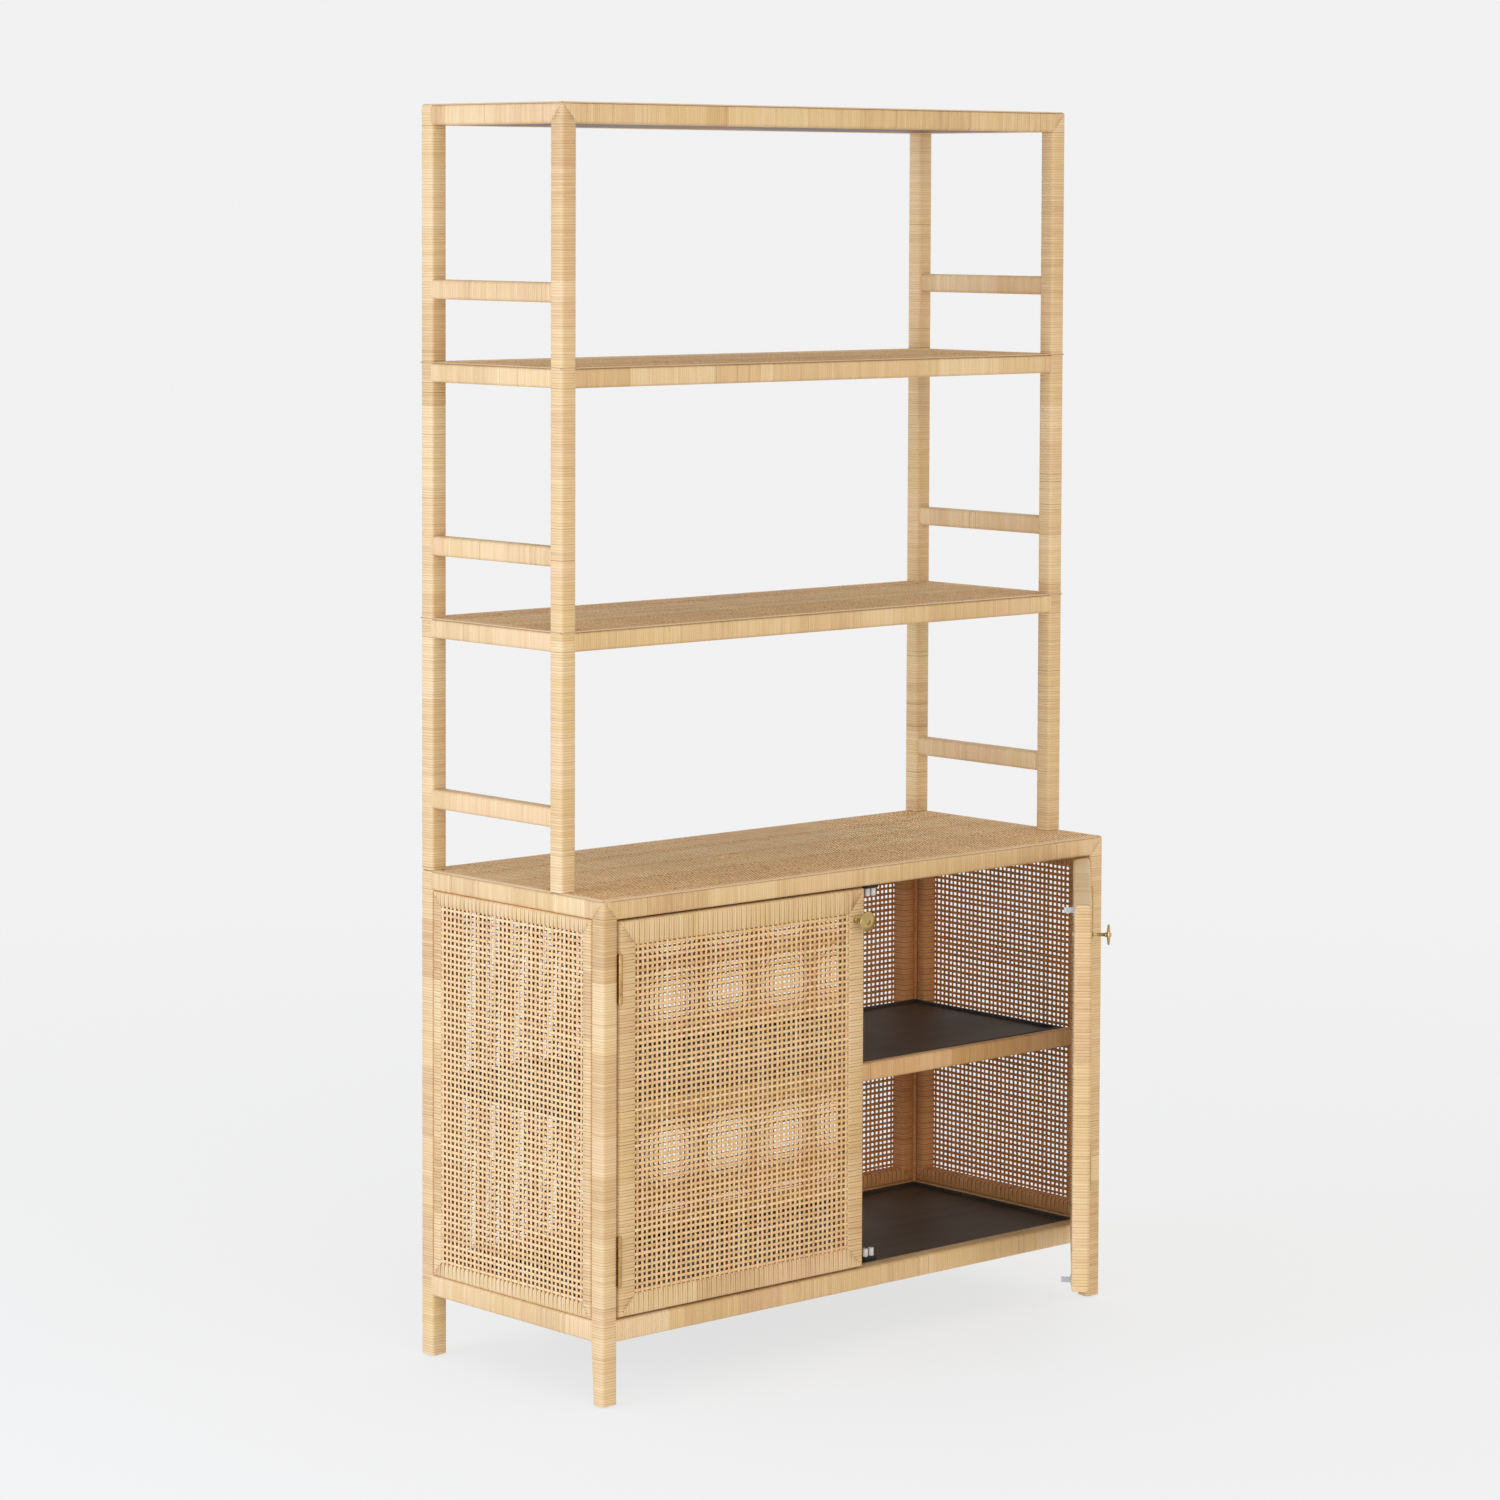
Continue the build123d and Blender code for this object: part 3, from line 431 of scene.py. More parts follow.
def joined(parts):
    """One part that holds several."""
    whole = Part.__new__(Part)
    offsets = np.cumsum([0] + [len(p.verts) for p in parts[:-1]])
    whole.verts = np.concatenate([p.verts for p in parts])
    whole.loops = np.concatenate([p.loops + o for p, o in zip(parts, offsets)])
    for name in PART_FIELDS:
        setattr(whole, name, np.concatenate([getattr(p, name) for p in parts]))
    return whole


def to_mesh(name, part):
    """A Blender mesh with the part's attributes."""
    mesh = bpy.data.meshes.new(name)
    mesh.vertices.add(len(part.verts))
    mesh.vertices.foreach_set("co", part.verts.ravel())
    mesh.loops.add(len(part.loops))
    mesh.loops.foreach_set("vertex_index", part.loops.astype(np.int32))
    mesh.polygons.add(len(part.totals))
    mesh.polygons.foreach_set("loop_start", part.starts().astype(np.int32))
    mesh.polygons.foreach_set("use_smooth", np.ones(len(part.totals), bool))
    mesh.update(calc_edges=True)
    for key in FACE_VALUES:
        layer = mesh.attributes.new(key, "FLOAT", "FACE")
        layer.data.foreach_set("value", getattr(part, key).astype(np.float32))
    layer = mesh.attributes.new("strand", "FLOAT_VECTOR", "CORNER")
    layer.data.foreach_set("vector", part.strand.ravel().astype(np.float32))
    return mesh


def from_mesh(mesh):
    """The arrays of a mesh made by to_mesh."""
    part = Part.__new__(Part)
    part.verts = np.empty(len(mesh.vertices) * 3)
    mesh.vertices.foreach_get("co", part.verts)
    part.verts = part.verts.reshape(-1, 3)
    part.loops = np.empty(len(mesh.loops), np.int32)
    mesh.loops.foreach_get("vertex_index", part.loops)
    part.totals = np.empty(len(mesh.polygons), np.int32)
    mesh.polygons.foreach_get("loop_total", part.totals)
    for key in FACE_VALUES:
        values = np.empty(len(mesh.polygons), np.float32)
        mesh.attributes[key].data.foreach_get("value", values)
        setattr(part, key, values)
    part.strand = np.empty(len(mesh.loops) * 3, np.float32)
    mesh.attributes["strand"].data.foreach_get("vector", part.strand)
    part.strand = part.strand.reshape(-1, 3)
    return part


def trimmed(part, planes):
    """The part cut by planes (point, normal), without what lies on the normals' side, and capped."""
    mesh = to_mesh("trim", part)
    shape = bmesh.new()
    shape.from_mesh(mesh)
    for point, normal in planes:
        everything = shape.verts[:] + shape.edges[:] + shape.faces[:]
        cut = bmesh.ops.bisect_plane(
            shape, geom=everything, dist=1e-6, plane_co=point, plane_no=normal, clear_outer=True
        )
        rims = [e for e in cut["geom_cut"] if isinstance(e, bmesh.types.BMEdge) and e.is_boundary]
        bmesh.ops.holes_fill(shape, edges=rims, sides=0)
    shape.to_mesh(mesh)
    shape.free()
    result = from_mesh(mesh)
    bpy.data.meshes.remove(mesh)
    return result


OUTWARD = 0.3                # how far the normal of an outer face leans outward, at least
SLACK = 1.0 * MM


def lining(part):
    """1 for the faces that line the closed cabinet at its sides and back, 0 for all others; the 1s get
    painted shade.
    """
    middle, normal = part.face_frames()
    x, y, z = middle.T
    within = (y > FRONT + BAR - SLACK) & (z > BASE_TOP) & (z < TOP_FRAMES["cabinet"][0][2])
    at_side = np.abs(x) > X_IN - SLACK
    at_back = y > BACK - BAR
    outward = (at_side & (np.sign(x) * normal[:, 0] > OUTWARD)) | (at_back & (normal[:, 1] > OUTWARD))
    return (within & (at_side | at_back) & ~outward).astype(float)


def piece(name, parts, material, slot, body="cabinet", stands_for=(), place=None, browned=0.0):
    """A finished object: its mesh, material, body and the CAD nodes it stands for; slot is not used.

    Its last argument gives every face a share of painted shade, the darker, redder colour of the shade
    inside the cabinet; the faces that line the cabinet get it in full.
    """
    whole = joined(parts) if len(parts) > 1 else parts[0]
    if place is not None:
        whole.moved(place)
    if body == "cabinet":
        # Painted shade inside the cabinet, carried by the inner attribute.
        whole.inner = np.maximum(lining(whole), browned)
    mesh = to_mesh(name, whole)
    mesh.validate()
    mesh.materials.append(material)
    item = bpy.data.objects.new(name, mesh)
    bpy.context.collection.objects.link(item)
    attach(item, body)
    if stands_for:
        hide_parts(*stands_for)
    return item


def wrapped(node, bars, **options):
    """The wound bars that stand for one CAD node."""
    piece(f"{node}_wrap", bars, WRAP, "rattan_wrap", stands_for=[node], **options)


def tube_faces(n_rows, around):
    """A tube's quads, after the row and the column of each and the column that follows it."""
    i, j = np.meshgrid(np.arange(n_rows - 1), np.arange(around), indexing="ij")
    j2 = (j + 1) % around
    quads = np.stack([i * around + j, i * around + j2, (i + 1) * around + j2, (i + 1) * around + j], -1)
    return i, j, j2, quads


# ---------------- winding
STRIP = 4.5 * MM             # width of one turn of the winding
RAIL_STRIP = 4.8 * MM
SHADE = 0.45                 # darkness of the gaps between turns
RAIL_SHADE = 0.28            # the same on a rail
WIDE_SHARE = 0.02            # share of the gaps that are twice as wide
WIDE_SHADE, OPENED_SHADE, BREAK_SHADE = 0.8, 0.85, 0.9
GROOVE_DEPTH = 0.40 * MM
OPENED_DEPTH = 1.2 * MM      # depth of a gap that has spread open
GROOVE_HALF = 0.13 * MM      # half width of an ordinary gap between two turns
SHOULDER = 0.42 * MM         # width of a strip's rounded edge
DEEPENING = 0.8              # depth that a gap gains with its half width
WANDER = 0.10 * MM           # how far a gap strays along the bar
SUNK = 0.14 * MM             # most that a strip lies below the bar's face
CORNER = 5.5 * MM            # rounding of a wound bar
CORNER_POINTS = 4


def rounded_profile(width, height):
    """Points and outward normals round a rectangle with rounded corners, anticlockwise."""
    points, normals = [], []
    for cx, cy, start in ((1, 1, 0), (-1, 1, 90), (-1, -1, 180), (1, -1, 270)):
        centre = (cx * (width / 2 - CORNER), cy * (height / 2 - CORNER))
        for i in range(CORNER_POINTS):
            angle = math.radians(start + 90 * i / (CORNER_POINTS - 1))
            normal = (math.cos(angle), math.sin(angle))
            points.append((centre[0] + CORNER * normal[0], centre[1] + CORNER * normal[1]))
            normals.append(normal)
    return np.array(points), np.array(normals)


def tones(count, rng):
    """Tone and hue of successive turns: one cane runs for some turns, then another takes over."""
    tone, hue = np.empty(count), np.empty(count)
    i = 0
    while i < count:
        run = int(rng.integers(6, 34))
        tone[i : i + run] = rng.normal(0, 0.20)
        hue[i : i + run] = rng.normal(0, 0.45)
        i += run
    tone += rng.normal(0, 0.08, count)
    hue += rng.normal(0, 0.2, count)
    return np.clip(tone, -1, 1), np.clip(hue, -1.2, 1.2)


def winding(axes, origin, length, width, height, rng, strip=STRIP, flare=None, breaks=(), shade=SHADE):
    """A bar wound with strips, as one closed ribbed tube.

    axes holds three unit vectors: along the bar, across its width and across its height.
    flare(points) gives, for each profile point, how far an opened gap spreads there, and every
    second gap is an opened one.  breaks are places where one wrapping ends and the next begins.
    shade is how dark the ordinary gaps are.
    """
    points, normals = rounded_profile(width, height)
    around = len(points)
    count = max(2, round(length / strip))
    edges = np.cumsum(np.concatenate([[0], rng.normal(1, 0.07, count)]))
    if flare is not None:
        edges = np.arange(count + 1) + np.concatenate([[0], rng.normal(0, 0.05, count - 1), [0]])
    edges = edges * (length / edges[-1])
    half = np.abs(rng.normal(1, 0.3, count + 1))[:, None] * GROOVE_HALF * np.ones(around)
    wide = rng.random(count + 1) < WIDE_SHARE
    half[wide] *= 2.0
    darkness = np.clip(rng.normal(shade, 0.12, count + 1), 0.1, 1)
    darkness[wide] = WIDE_SHADE
    if flare is not None:
        opened = np.arange(count + 1) % 2 == 0
        half[opened] += flare(points) * rng.uniform(0.75, 1.1, (opened.sum(), 1))
        darkness[opened] = OPENED_SHADE
    depth = np.clip(GROOVE_DEPTH + DEEPENING * (half - GROOVE_HALF), GROOVE_DEPTH, OPENED_DEPTH)
    for place in breaks:
        k = int(np.argmin(np.abs(edges - place)))
        half[k] = 2.0 * GROOVE_HALF
        darkness[k] = BREAK_SHADE
    wander = rng.normal(0, WANDER, (count + 1, around))
    wander[0] = wander[-1] = 0
    line = edges[:, None] + wander
    sunk = rng.uniform(0, SUNK, count)

    rows, insets = [], []
    for k in range(count):
        start = line[k] + half[k]
        end = line[k + 1] - half[k + 1]
        shoulder = np.minimum(SHOULDER, 0.4 * (end - start))
        rows += [start, start + shoulder, end - shoulder, end]
        level = np.full(around, sunk[k])
        insets += [depth[k], level, level, depth[k + 1]]
    rows = np.array(rows)
    rows[0] = 0
    rows[-1] = length
    insets = np.array(insets)

    ring = points[None] - normals[None] * insets[..., None]
    along, across, up = axes
    verts = origin + rows[..., None] * along + ring[..., 0:1] * across + ring[..., 1:2] * up
    n_rows = len(rows)
    i, j, j2, quads = tube_faces(n_rows, around)

    step = np.linalg.norm(np.roll(points, -1, axis=0) - points, axis=1)
    run = np.concatenate([[0], np.cumsum(step)])
    band = np.repeat(np.arange(n_rows - 1)[:, None], around, axis=1)
    turn = np.minimum(band // 4, count - 1)
    tone, hue = tones(count, rng)
    ident = rng.random(count) * 40
    kind = band % 4
    groove = np.where(kind < 2, turn, turn + 1)
    dark = darkness[groove]
    gap = np.select([kind == 3, kind % 2 == 0], [dark, 0.35 * dark], 0.0)
    strand = np.empty(quads.shape + (3,))
    strand[..., 0] = np.stack([run[j], run[j + 1], run[j + 1], run[j]], -1)
    strand[..., 1] = np.stack([rows[i, j], rows[i, j2], rows[i + 1, j2], rows[i + 1, j]], -1)
    strand[..., 2] = ident[turn][..., None]

    body = Part(verts, quads, tone[turn], hue[turn], gap, strand)
    k = np.arange(around // 2 - 1)
    cap = np.stack([k, k + 1, around - 2 - k, around - 1 - k], -1)
    caps = np.concatenate([cap[:, ::-1], cap + (n_rows - 1) * around])
    body.with_faces(Part(verts, caps, gap=1.0))
    if np.dot(np.cross(along, across), up) < 0:
        body.turned_over()
    return body


X, Y, Z = np.eye(3)


def wound_box(low, high, axis, rng, **options):
    """A winding that fills the box between two corners, along x (0), y (1) or z (2)."""
    low, high = np.array(low, float), np.array(high, float)
    size = high - low
    along, across, up = ((X, Y, Z), (Y, Z, X), (Z, X, Y))[axis]
    middle = (low + high) / 2
    origin = middle - along * size[axis] / 2
    return winding((along, across, up), origin, size[axis], size @ across, size @ up, rng, **options)


def wound_rail(low, high, axis, rng):
    """The same with the strips and the gaps of a rail."""
    return wound_box(low, high, axis, rng, strip=RAIL_STRIP, shade=RAIL_SHADE)


# ---------------- long strands
STRAND_STEP = 25.0 * MM      # distance between a long strand's sections
STRAND_TONE = -0.1


def strand_along(start, direction, side, length, width, height, rng):
    """One long half-round strand lying on a surface: six faces round, closed at its ends."""
    up = np.cross(direction, side)
    steps = max(2, int(length / STRAND_STEP))
    s = np.linspace(0, length, steps + 1)
    section = np.array([(-0.5, -0.3), (0.5, -0.3), (0.47, 0.45), (0.2, 1.0), (-0.2, 1.0), (-0.47, 0.45)])
    sway = rng.normal(0, 0.04, steps + 1)[:, None]
    across = (section[None, :, 0] + sway) * width
    rise = section[None, :, 1] * height * np.ones((steps + 1, 1))
    verts = (
        np.array(start)
        + s[:, None, None] * direction
        + across[..., None] * side
        + rise[..., None] * up
    )
    around = len(section)
    i, j, j2, quads = tube_faces(steps + 1, around)
    strand = np.zeros(quads.shape + (3,))
    strand[..., 0] = np.stack([s[i], s[i], s[i + 1], s[i + 1]], -1)
    strand[..., 1] = np.stack([j, j2, j2, j], -1) * width / 4
    strand[..., 2] = rng.random() * 40
    gap = np.where((j == 0) | (j == 1) | (j == 5), 0.5, 0.0)
    tone = rng.normal(STRAND_TONE, 0.22)
    hue = rng.normal(0, 0.5)
    body = Part(verts, quads, tone, hue, gap, strand)
    near = np.array([(5, 4, 3, 2), (5, 2, 1, 0)])
    far = np.array([(2, 3, 4, 5), (0, 1, 2, 5)]) + steps * around
    ends = Part(verts, np.concatenate([near, far]), gap=0.8)
    return body.with_faces(ends)


# ---------------- woven cane
CANE_PITCH = (10.7 * MM, 10.0 * MM)      # across and up
CANE_WIDTH = (5.5 * MM, 5.2 * MM)
CANE_THICK = 0.9 * MM
CANE_WAVE = 0.55 * MM                    # how far a strand rises over another
CANE_STRAY = 0.22 * MM                   # how far a strand lies from its even place


def cane_strands(spans, direction, pitch_count, rng, sign):
    """Flat strands one way across a sheet.  Local axes: a across, b up, c outward.

    spans is ((a0, a1), (b0, b1)); direction 0 lays strands along a, 1 along b.
    """
    along, across = spans[direction], spans[1 - direction]
    n_along, n_across = pitch_count[direction], pitch_count[1 - direction]
    section = np.array([(-0.5, 0.0), (-0.28, -0.5), (0.28, -0.5), (0.5, 0.0), (0.3, 0.5), (-0.3, 0.5)])
    around = len(section)
    samples = 2 * n_along + 1
    s = np.linspace(along[0], along[1], samples)
    wave = np.resize([0.0, 1.0, 0.0, -1.0], samples)
    pitch = (across[1] - across[0]) / n_across
    i, j, j2, quads = tube_faces(samples, around)
    edge = section[:, 0]
    gap = np.where((j == 0) | (j == 2), 0.3, 0.0)
    parts = []
    for k in range(n_across):
        centre = across[0] + (k + 0.5) * pitch + rng.normal(0, CANE_STRAY)
        width = CANE_WIDTH[1 - direction] * rng.normal(1, 0.06)
        drift = np.cumsum(rng.normal(0, 0.05 * MM, samples))
        drift -= np.linspace(drift[0], drift[-1], samples)
        phase = sign * (1 if k % 2 == 0 else -1)
        level = phase * wave * CANE_WAVE + rng.normal(0, 0.05 * MM, samples)
        t = centre + drift[:, None] + section[None, :, 0] * width * rng.normal(1, 0.03, (samples, 1))
        c = level[:, None] + section[None, :, 1] * CANE_THICK
        a = np.repeat(s[:, None], around, axis=1)
        grid = np.stack([a, t, c] if direction == 0 else [t, a, c], -1)
        strand = np.empty(quads.shape + (3,))
        strand[..., 0] = np.stack([s[i], s[i], s[i + 1], s[i + 1]], -1)
        strand[..., 1] = np.stack([edge[j], edge[j2], edge[j2], edge[j]], -1) * width
        strand[..., 2] = rng.random() * 40
        tone = np.clip(rng.normal(0.05, 0.24) + rng.normal(0, 0.10, quads.shape[0])[:, None], -1, 1)
        tone = np.repeat(tone, around, axis=1)
        hue = rng.normal(0, 0.55)
        parts.append(Part(grid, quads, tone, hue, gap, strand))
    sheet = joined(parts)
    return sheet if direction == 0 else sheet.turned_over()


def cane_sheet(low, high, rng):
    """Warp and weft of a sheet in its own axes: a from low[0] to high[0], b from low[1] to high[1]."""
    counts = [max(2, round((high[i] - low[i]) / CANE_PITCH[i])) for i in range(2)]
    spans = ((low[0], high[0]), (low[1], high[1]))
    return [cane_strands(spans, 0, counts, rng, 1), cane_strands(spans, 1, counts, rng, -1)]


# ---------------- twill mats
TWILL = (3.3 * MM, 2.1 * MM)             # size of a crossing along x and along y
TWILL_RISE = 0.85 * MM
WARP_RISE = 0.86                         # height of a warp crossing, as a share of that
COVER = 0.44                             # half a float's size, as a share of its cells
FLOAT_FIT = (1.04, 0.97)                 # its size along x and y, against an even share
CROSSING_FIT = (0.94, 1.0)


def drifting(count, reach, rng):
    """Tones that differ from strand to strand and drift slowly over a number of strands."""
    slow = np.convolve(rng.normal(0, 0.9 / math.sqrt(reach), count + reach), np.ones(reach), "valid")
    return rng.normal(0, 0.2, count) + 0.3 * slow[:count]


def twill(low, high, top, rng, holes=()):
    """A two-over-one twill: long weft floats and single warp crossings."""
    nx = int((high[0] - low[0]) / TWILL[0])
    ny = int((high[1] - low[1]) / TWILL[1])
    step = ((high[0] - low[0]) / nx, (high[1] - low[1]) / ny)
    i, j = np.meshgrid(np.arange(nx), np.arange(ny), indexing="ij")
    phase = (i - j) % 3
    columns, rows = drifting(nx, 20, rng), drifting(ny, 14, rng)
    column_hue = rng.normal(0, 0.6, nx)
    row_hue = rng.normal(0, 0.6, ny)
    base = top - TWILL_RISE

    def pillows(cells, length, tone, hue, ident, vertical):
        ci, cj = cells
        cx = low[0] + (ci + 0.5 * (1 if vertical else length)) * step[0]
        cy = low[1] + (cj + 0.5) * step[1]
        good = np.ones(cx.shape, bool)
        for hole_low, hole_high in holes:
            good &= ~((cx > hole_low[0]) & (cx < hole_high[0]) & (cy > hole_low[1]) & (cy < hole_high[1]))
        cx, cy, tone, hue, ident = cx[good], cy[good], tone[good], hue[good], ident[good]
        n = len(cx)
        fit = CROSSING_FIT if vertical else FLOAT_FIT
        half_x = np.full(n, COVER * step[0] * (length * fit[0]))
        half_y = np.full(n, COVER * step[1] * fit[1])
        half_x *= rng.normal(1, 0.03, n)
        half_y *= rng.normal(1, 0.03, n)
        ridge = rng.normal(TWILL_RISE, 0.06 * MM, n) * (WARP_RISE if vertical else 1.0)
        corners = [(-1, -1, 0), (1, -1, 0), (1, 1, 0), (-1, 1, 0)]
        crest = [(0, -0.45, 1), (0, 0.45, 1)] if vertical else [(-0.5, 0, 1), (0.5, 0, 1)]
        verts = np.stack(
            [
                np.stack([cx + a * half_x, cy + b * half_y, np.full(n, base) + c * ridge], -1)
                for a, b, c in corners + crest
            ],
            1,
        )
        if vertical:
            quads, tris = [(1, 2, 5, 4), (3, 0, 4, 5)], [(0, 1, 4), (2, 3, 5)]
        else:
            quads, tris = [(0, 1, 5, 4), (2, 3, 4, 5)], [(1, 2, 5), (3, 0, 4)]
        offset = (np.arange(n) * 6)[:, None, None]
        out = []
        for faces in (quads, tris):
            faces = np.array(faces)
            index = (offset + faces[None]).reshape(-1, faces.shape[1])
            flat = verts.reshape(-1, 3)
            where = flat[index]
            strand = np.empty(where.shape)
            strand[..., 0] = where[..., 1 if vertical else 0]
            strand[..., 1] = where[..., 0 if vertical else 1]
            strand[..., 2] = np.repeat(ident, len(faces))[:, None]
            tones, hues = np.repeat(tone, len(faces)), np.repeat(hue, len(faces))
            out.append(Part(flat, index, tones, hues, 0.0, strand))
        return out[0].with_faces(out[1])

    weft = (phase == 0) & (i < nx - 1)
    warp = phase == 2
    wi, wj = i[weft], j[weft]
    jitter = rng.normal(0.35, 0.3, len(wi))
    weft_part = pillows((wi, wj), 2, rows[wj] + jitter, row_hue[wj], wj * 0.7, False)
    pi, pj = i[warp], j[warp]
    jitter = rng.normal(-1.1, 0.25, len(pi))
    warp_part = pillows((pi, pj), 1, columns[pi] + jitter, column_hue[pi], pi * 0.9, True)
    return [weft_part, warp_part]


def slab(low, high, gap):
    """A closed box, for what lies hidden under other strands."""
    corners = [(x, y, z) for z in (low[2], high[2]) for y in (low[1], high[1]) for x in (low[0], high[0])]
    faces = [(0, 2, 3, 1), (4, 5, 7, 6), (0, 1, 5, 4), (2, 6, 7, 3), (0, 4, 6, 2), (1, 3, 7, 5)]
    return Part(corners, faces, gap=gap)


# ---------------- the frame's own measures
def node_box(name):
    low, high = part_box(name)
    return np.array(low), np.array(high)


def generator(name):
    """A random generator of its own for each piece, the same in every run."""
    return np.random.default_rng(sum((i + 1) * ord(c) for i, c in enumerate(name)))


LEG_LOW, LEG_HIGH = node_box("leg_front_right")
BAR = LEG_HIGH[0] - LEG_LOW[0]
X_OUT = LEG_HIGH[0]
X_IN = LEG_LOW[0]
FRONT = LEG_LOW[1]
BACK = node_box("leg_rear_right")[1][1]
BASE_TOP = node_box("bottom_rails")[1][2]
HUTCH_FRONT = node_box("hutch_post_front_right")[0][1]
BORDER_RISE = 1.5 * MM       # height of the strands that edge a mat
OVERLAP = 4.0 * MM           # how far a bar's end runs into its neighbour
EASING = 6.0 * MM            # rounding of the cabinet's and the hutch's outer edges
LEG_TAPER = 6.5 * MM         # what the front legs lose at their rear face, towards the floor
SHELF_LEVELS = {level: node_box(f"shelf_{level}_rails") for level in ("upper", "lower")}
TOP_FRAMES = {"cabinet": node_box("cabinet_top_rails"), "hutch": node_box("hutch_top_rails")}
TOP_MATS = {"cabinet_top_mat": "cabinet", "hutch_top_mat": "hutch"}


def eased(part, frame_name):
    """Draws in what stands out of a frame's outer box with rounded edges."""
    low, high = TOP_FRAMES[frame_name]
    bottom = 0 if frame_name == "cabinet" else TOP_FRAMES["cabinet"][1][2]
    middle = np.array([0, (low[1] + high[1]) / 2, (bottom + high[2]) / 2])
    half = np.array([X_OUT, (high[1] - low[1]) / 2, (high[2] - bottom) / 2])
    offset = part.verts - middle
    beyond = np.maximum(np.abs(offset) - (half - EASING), 0)
    beyond[:, 2] *= offset[:, 2] > 0
    reach = np.linalg.norm(beyond, axis=1, keepdims=True)
    drawn_in = beyond * (1 - EASING / np.maximum(reach, EASING))
    part.verts = part.verts - np.sign(offset) * drawn_in
    return part


def mitres(side, y_face, bottom, top):
    """The mitres between a front post and the two rails that meet on it.

    A point on both planes, and their normals, which point to the post's side.
    """
    corner = Vector((side * X_OUT, y_face, top))
    on_front = Vector((side * (top - bottom), 0, -BAR))
    on_side = Vector((0, bottom - top, -BAR))
    return corner, on_front.normalized(), on_side.normalized()


# ---------------- legs and posts
def post_wrap(kind, end, side_name, frame_name):
    """One leg or hutch post.  At the front it ends in mitres, at the rear it runs to the top."""
    node = f"{kind}_{end}_{side_name}"
    low, high = node_box(node)
    top_low, top_high = TOP_FRAMES[frame_name]
    high[2] = top_high[2] if end == "front" else top_high[2] - BORDER_RISE
    breaks = [top_low[2] - low[2]]
    if kind == "hutch_post":
        for shelf_low, shelf_high in SHELF_LEVELS.values():
            breaks += [shelf_low[2] - low[2], shelf_high[2] - low[2]]
    bar = wound_box(low, high, 2, generator(node), breaks=breaks)
    if end == "front":
        corner, n_front, n_side = mitres(SIDES[side_name], low[1], top_low[2], top_high[2])
        bar = trimmed(bar, [(corner, -n_front), (corner, -n_side)])
    if node.startswith("leg_front"):
        foot, taper_top = low[2], node_box("bottom_rails")[0][2]
        share = np.clip((taper_top - bar.verts[:, 2]) / (taper_top - foot), 0, 1)
        bar.verts[:, 1] = FRONT + (bar.verts[:, 1] - FRONT) * (1 - share * LEG_TAPER / BAR)
    wrapped(node, [eased(bar, frame_name)])


for end in ("front", "rear"):
    for side_name in SIDES:
        post_wrap("leg", end, side_name, "cabinet")
        post_wrap("hutch_post", end, side_name, "hutch")


# ---------------- flat frames with mats
def top_frame(frame_name):
    """The rails under a top mat: mitred at the front corners, butted on the rear posts."""
    low, high = TOP_FRAMES[frame_name]
    top = high[2] - BORDER_RISE
    rng = generator(frame_name + "_top_rails")
    front = wound_rail((-X_OUT, low[1], low[2]), (X_OUT, low[1] + BAR, top), 0, rng)
    x_end = X_IN + OVERLAP
    rear = wound_rail((-x_end, BACK - BAR, low[2]), (x_end, BACK, top), 0, rng)
    planes = []
    bars = [rear]
    for side in (-1, 1):
        corner, n_front, n_side = mitres(side, low[1], low[2], high[2])
        planes += [(corner, n_front), (corner, Vector((side, 1, 0)).normalized())]
        x0, x1 = sorted((side * X_IN, side * X_OUT))
        y_end = BACK - BAR + OVERLAP
        bar = wound_rail((x0, low[1], low[2]), (x1, y_end, top), 1, rng)
        bars.append(trimmed(bar, [(corner, n_side), (corner, Vector((-side, -1, 0)).normalized())]))
    bars.append(trimmed(front, planes))
    bars = [eased(bar, frame_name) for bar in bars]
    node = f"{frame_name}_top_rails"
    wrapped(node, bars)


EDGE_STRANDS = 3             # strands side by side in a mat's border


def edging(low, high, top, rng):
    """Long strands that run round a mat, outside it."""
    outer = X_OUT - high[0]
    width = outer / EDGE_STRANDS
    base = top - BORDER_RISE
    parts = []
    for k in range(EDGE_STRANDS):
        inset = (k + 0.5) * width
        x0, x1 = low[0] - outer + inset, high[0] + outer - inset
        y0, y1 = low[1] - outer + inset, high[1] + outer - inset
        reach = width / 2
        for y in (y0, y1):
            start = (x0 - reach, y, base)
            parts.append(strand_along(start, X, Y, x1 - x0 + 2 * reach, width, BORDER_RISE, rng))
        for x in (x0, x1):
            start = (x, y1 - reach, base)
            parts.append(strand_along(start, -Y, X, y1 - y0 - 2 * reach, width, BORDER_RISE, rng))
    return parts


def mat_piece(node, posts=()):
    """A twill mat, as weft and warp, and the strands that edge it."""
    low, high = node_box(node)
    rng = generator(node)
    top = high[2]
    holes = [node_box(post) for post in posts]
    # The backing stands for the strands beneath; its dark gap colour is painted shade under the floats.
    backing = slab(low, (high[0], high[1], top - TWILL_RISE), gap=0.9)
    weft, warp = twill(low, high, top, rng, holes)
    border = edging(low, high, top, rng)
    if node in TOP_MATS:
        border = [eased(strand, TOP_MATS[node]) for strand in border]
    piece(f"{node}_weft", [backing, weft], MAT, "twill_mat", stands_for=[node])
    piece(f"{node}_warp", [warp], MAT, "twill_mat")
    piece(f"{node}_edging", border, MAT_EDGE, "twill_mat")


POSTS = [f"hutch_post_{end}_{side}" for end in ("front", "rear") for side in SIDES]
for frame_name in TOP_FRAMES:
    top_frame(frame_name)
for node in TOP_MATS:
    mat_piece(node)


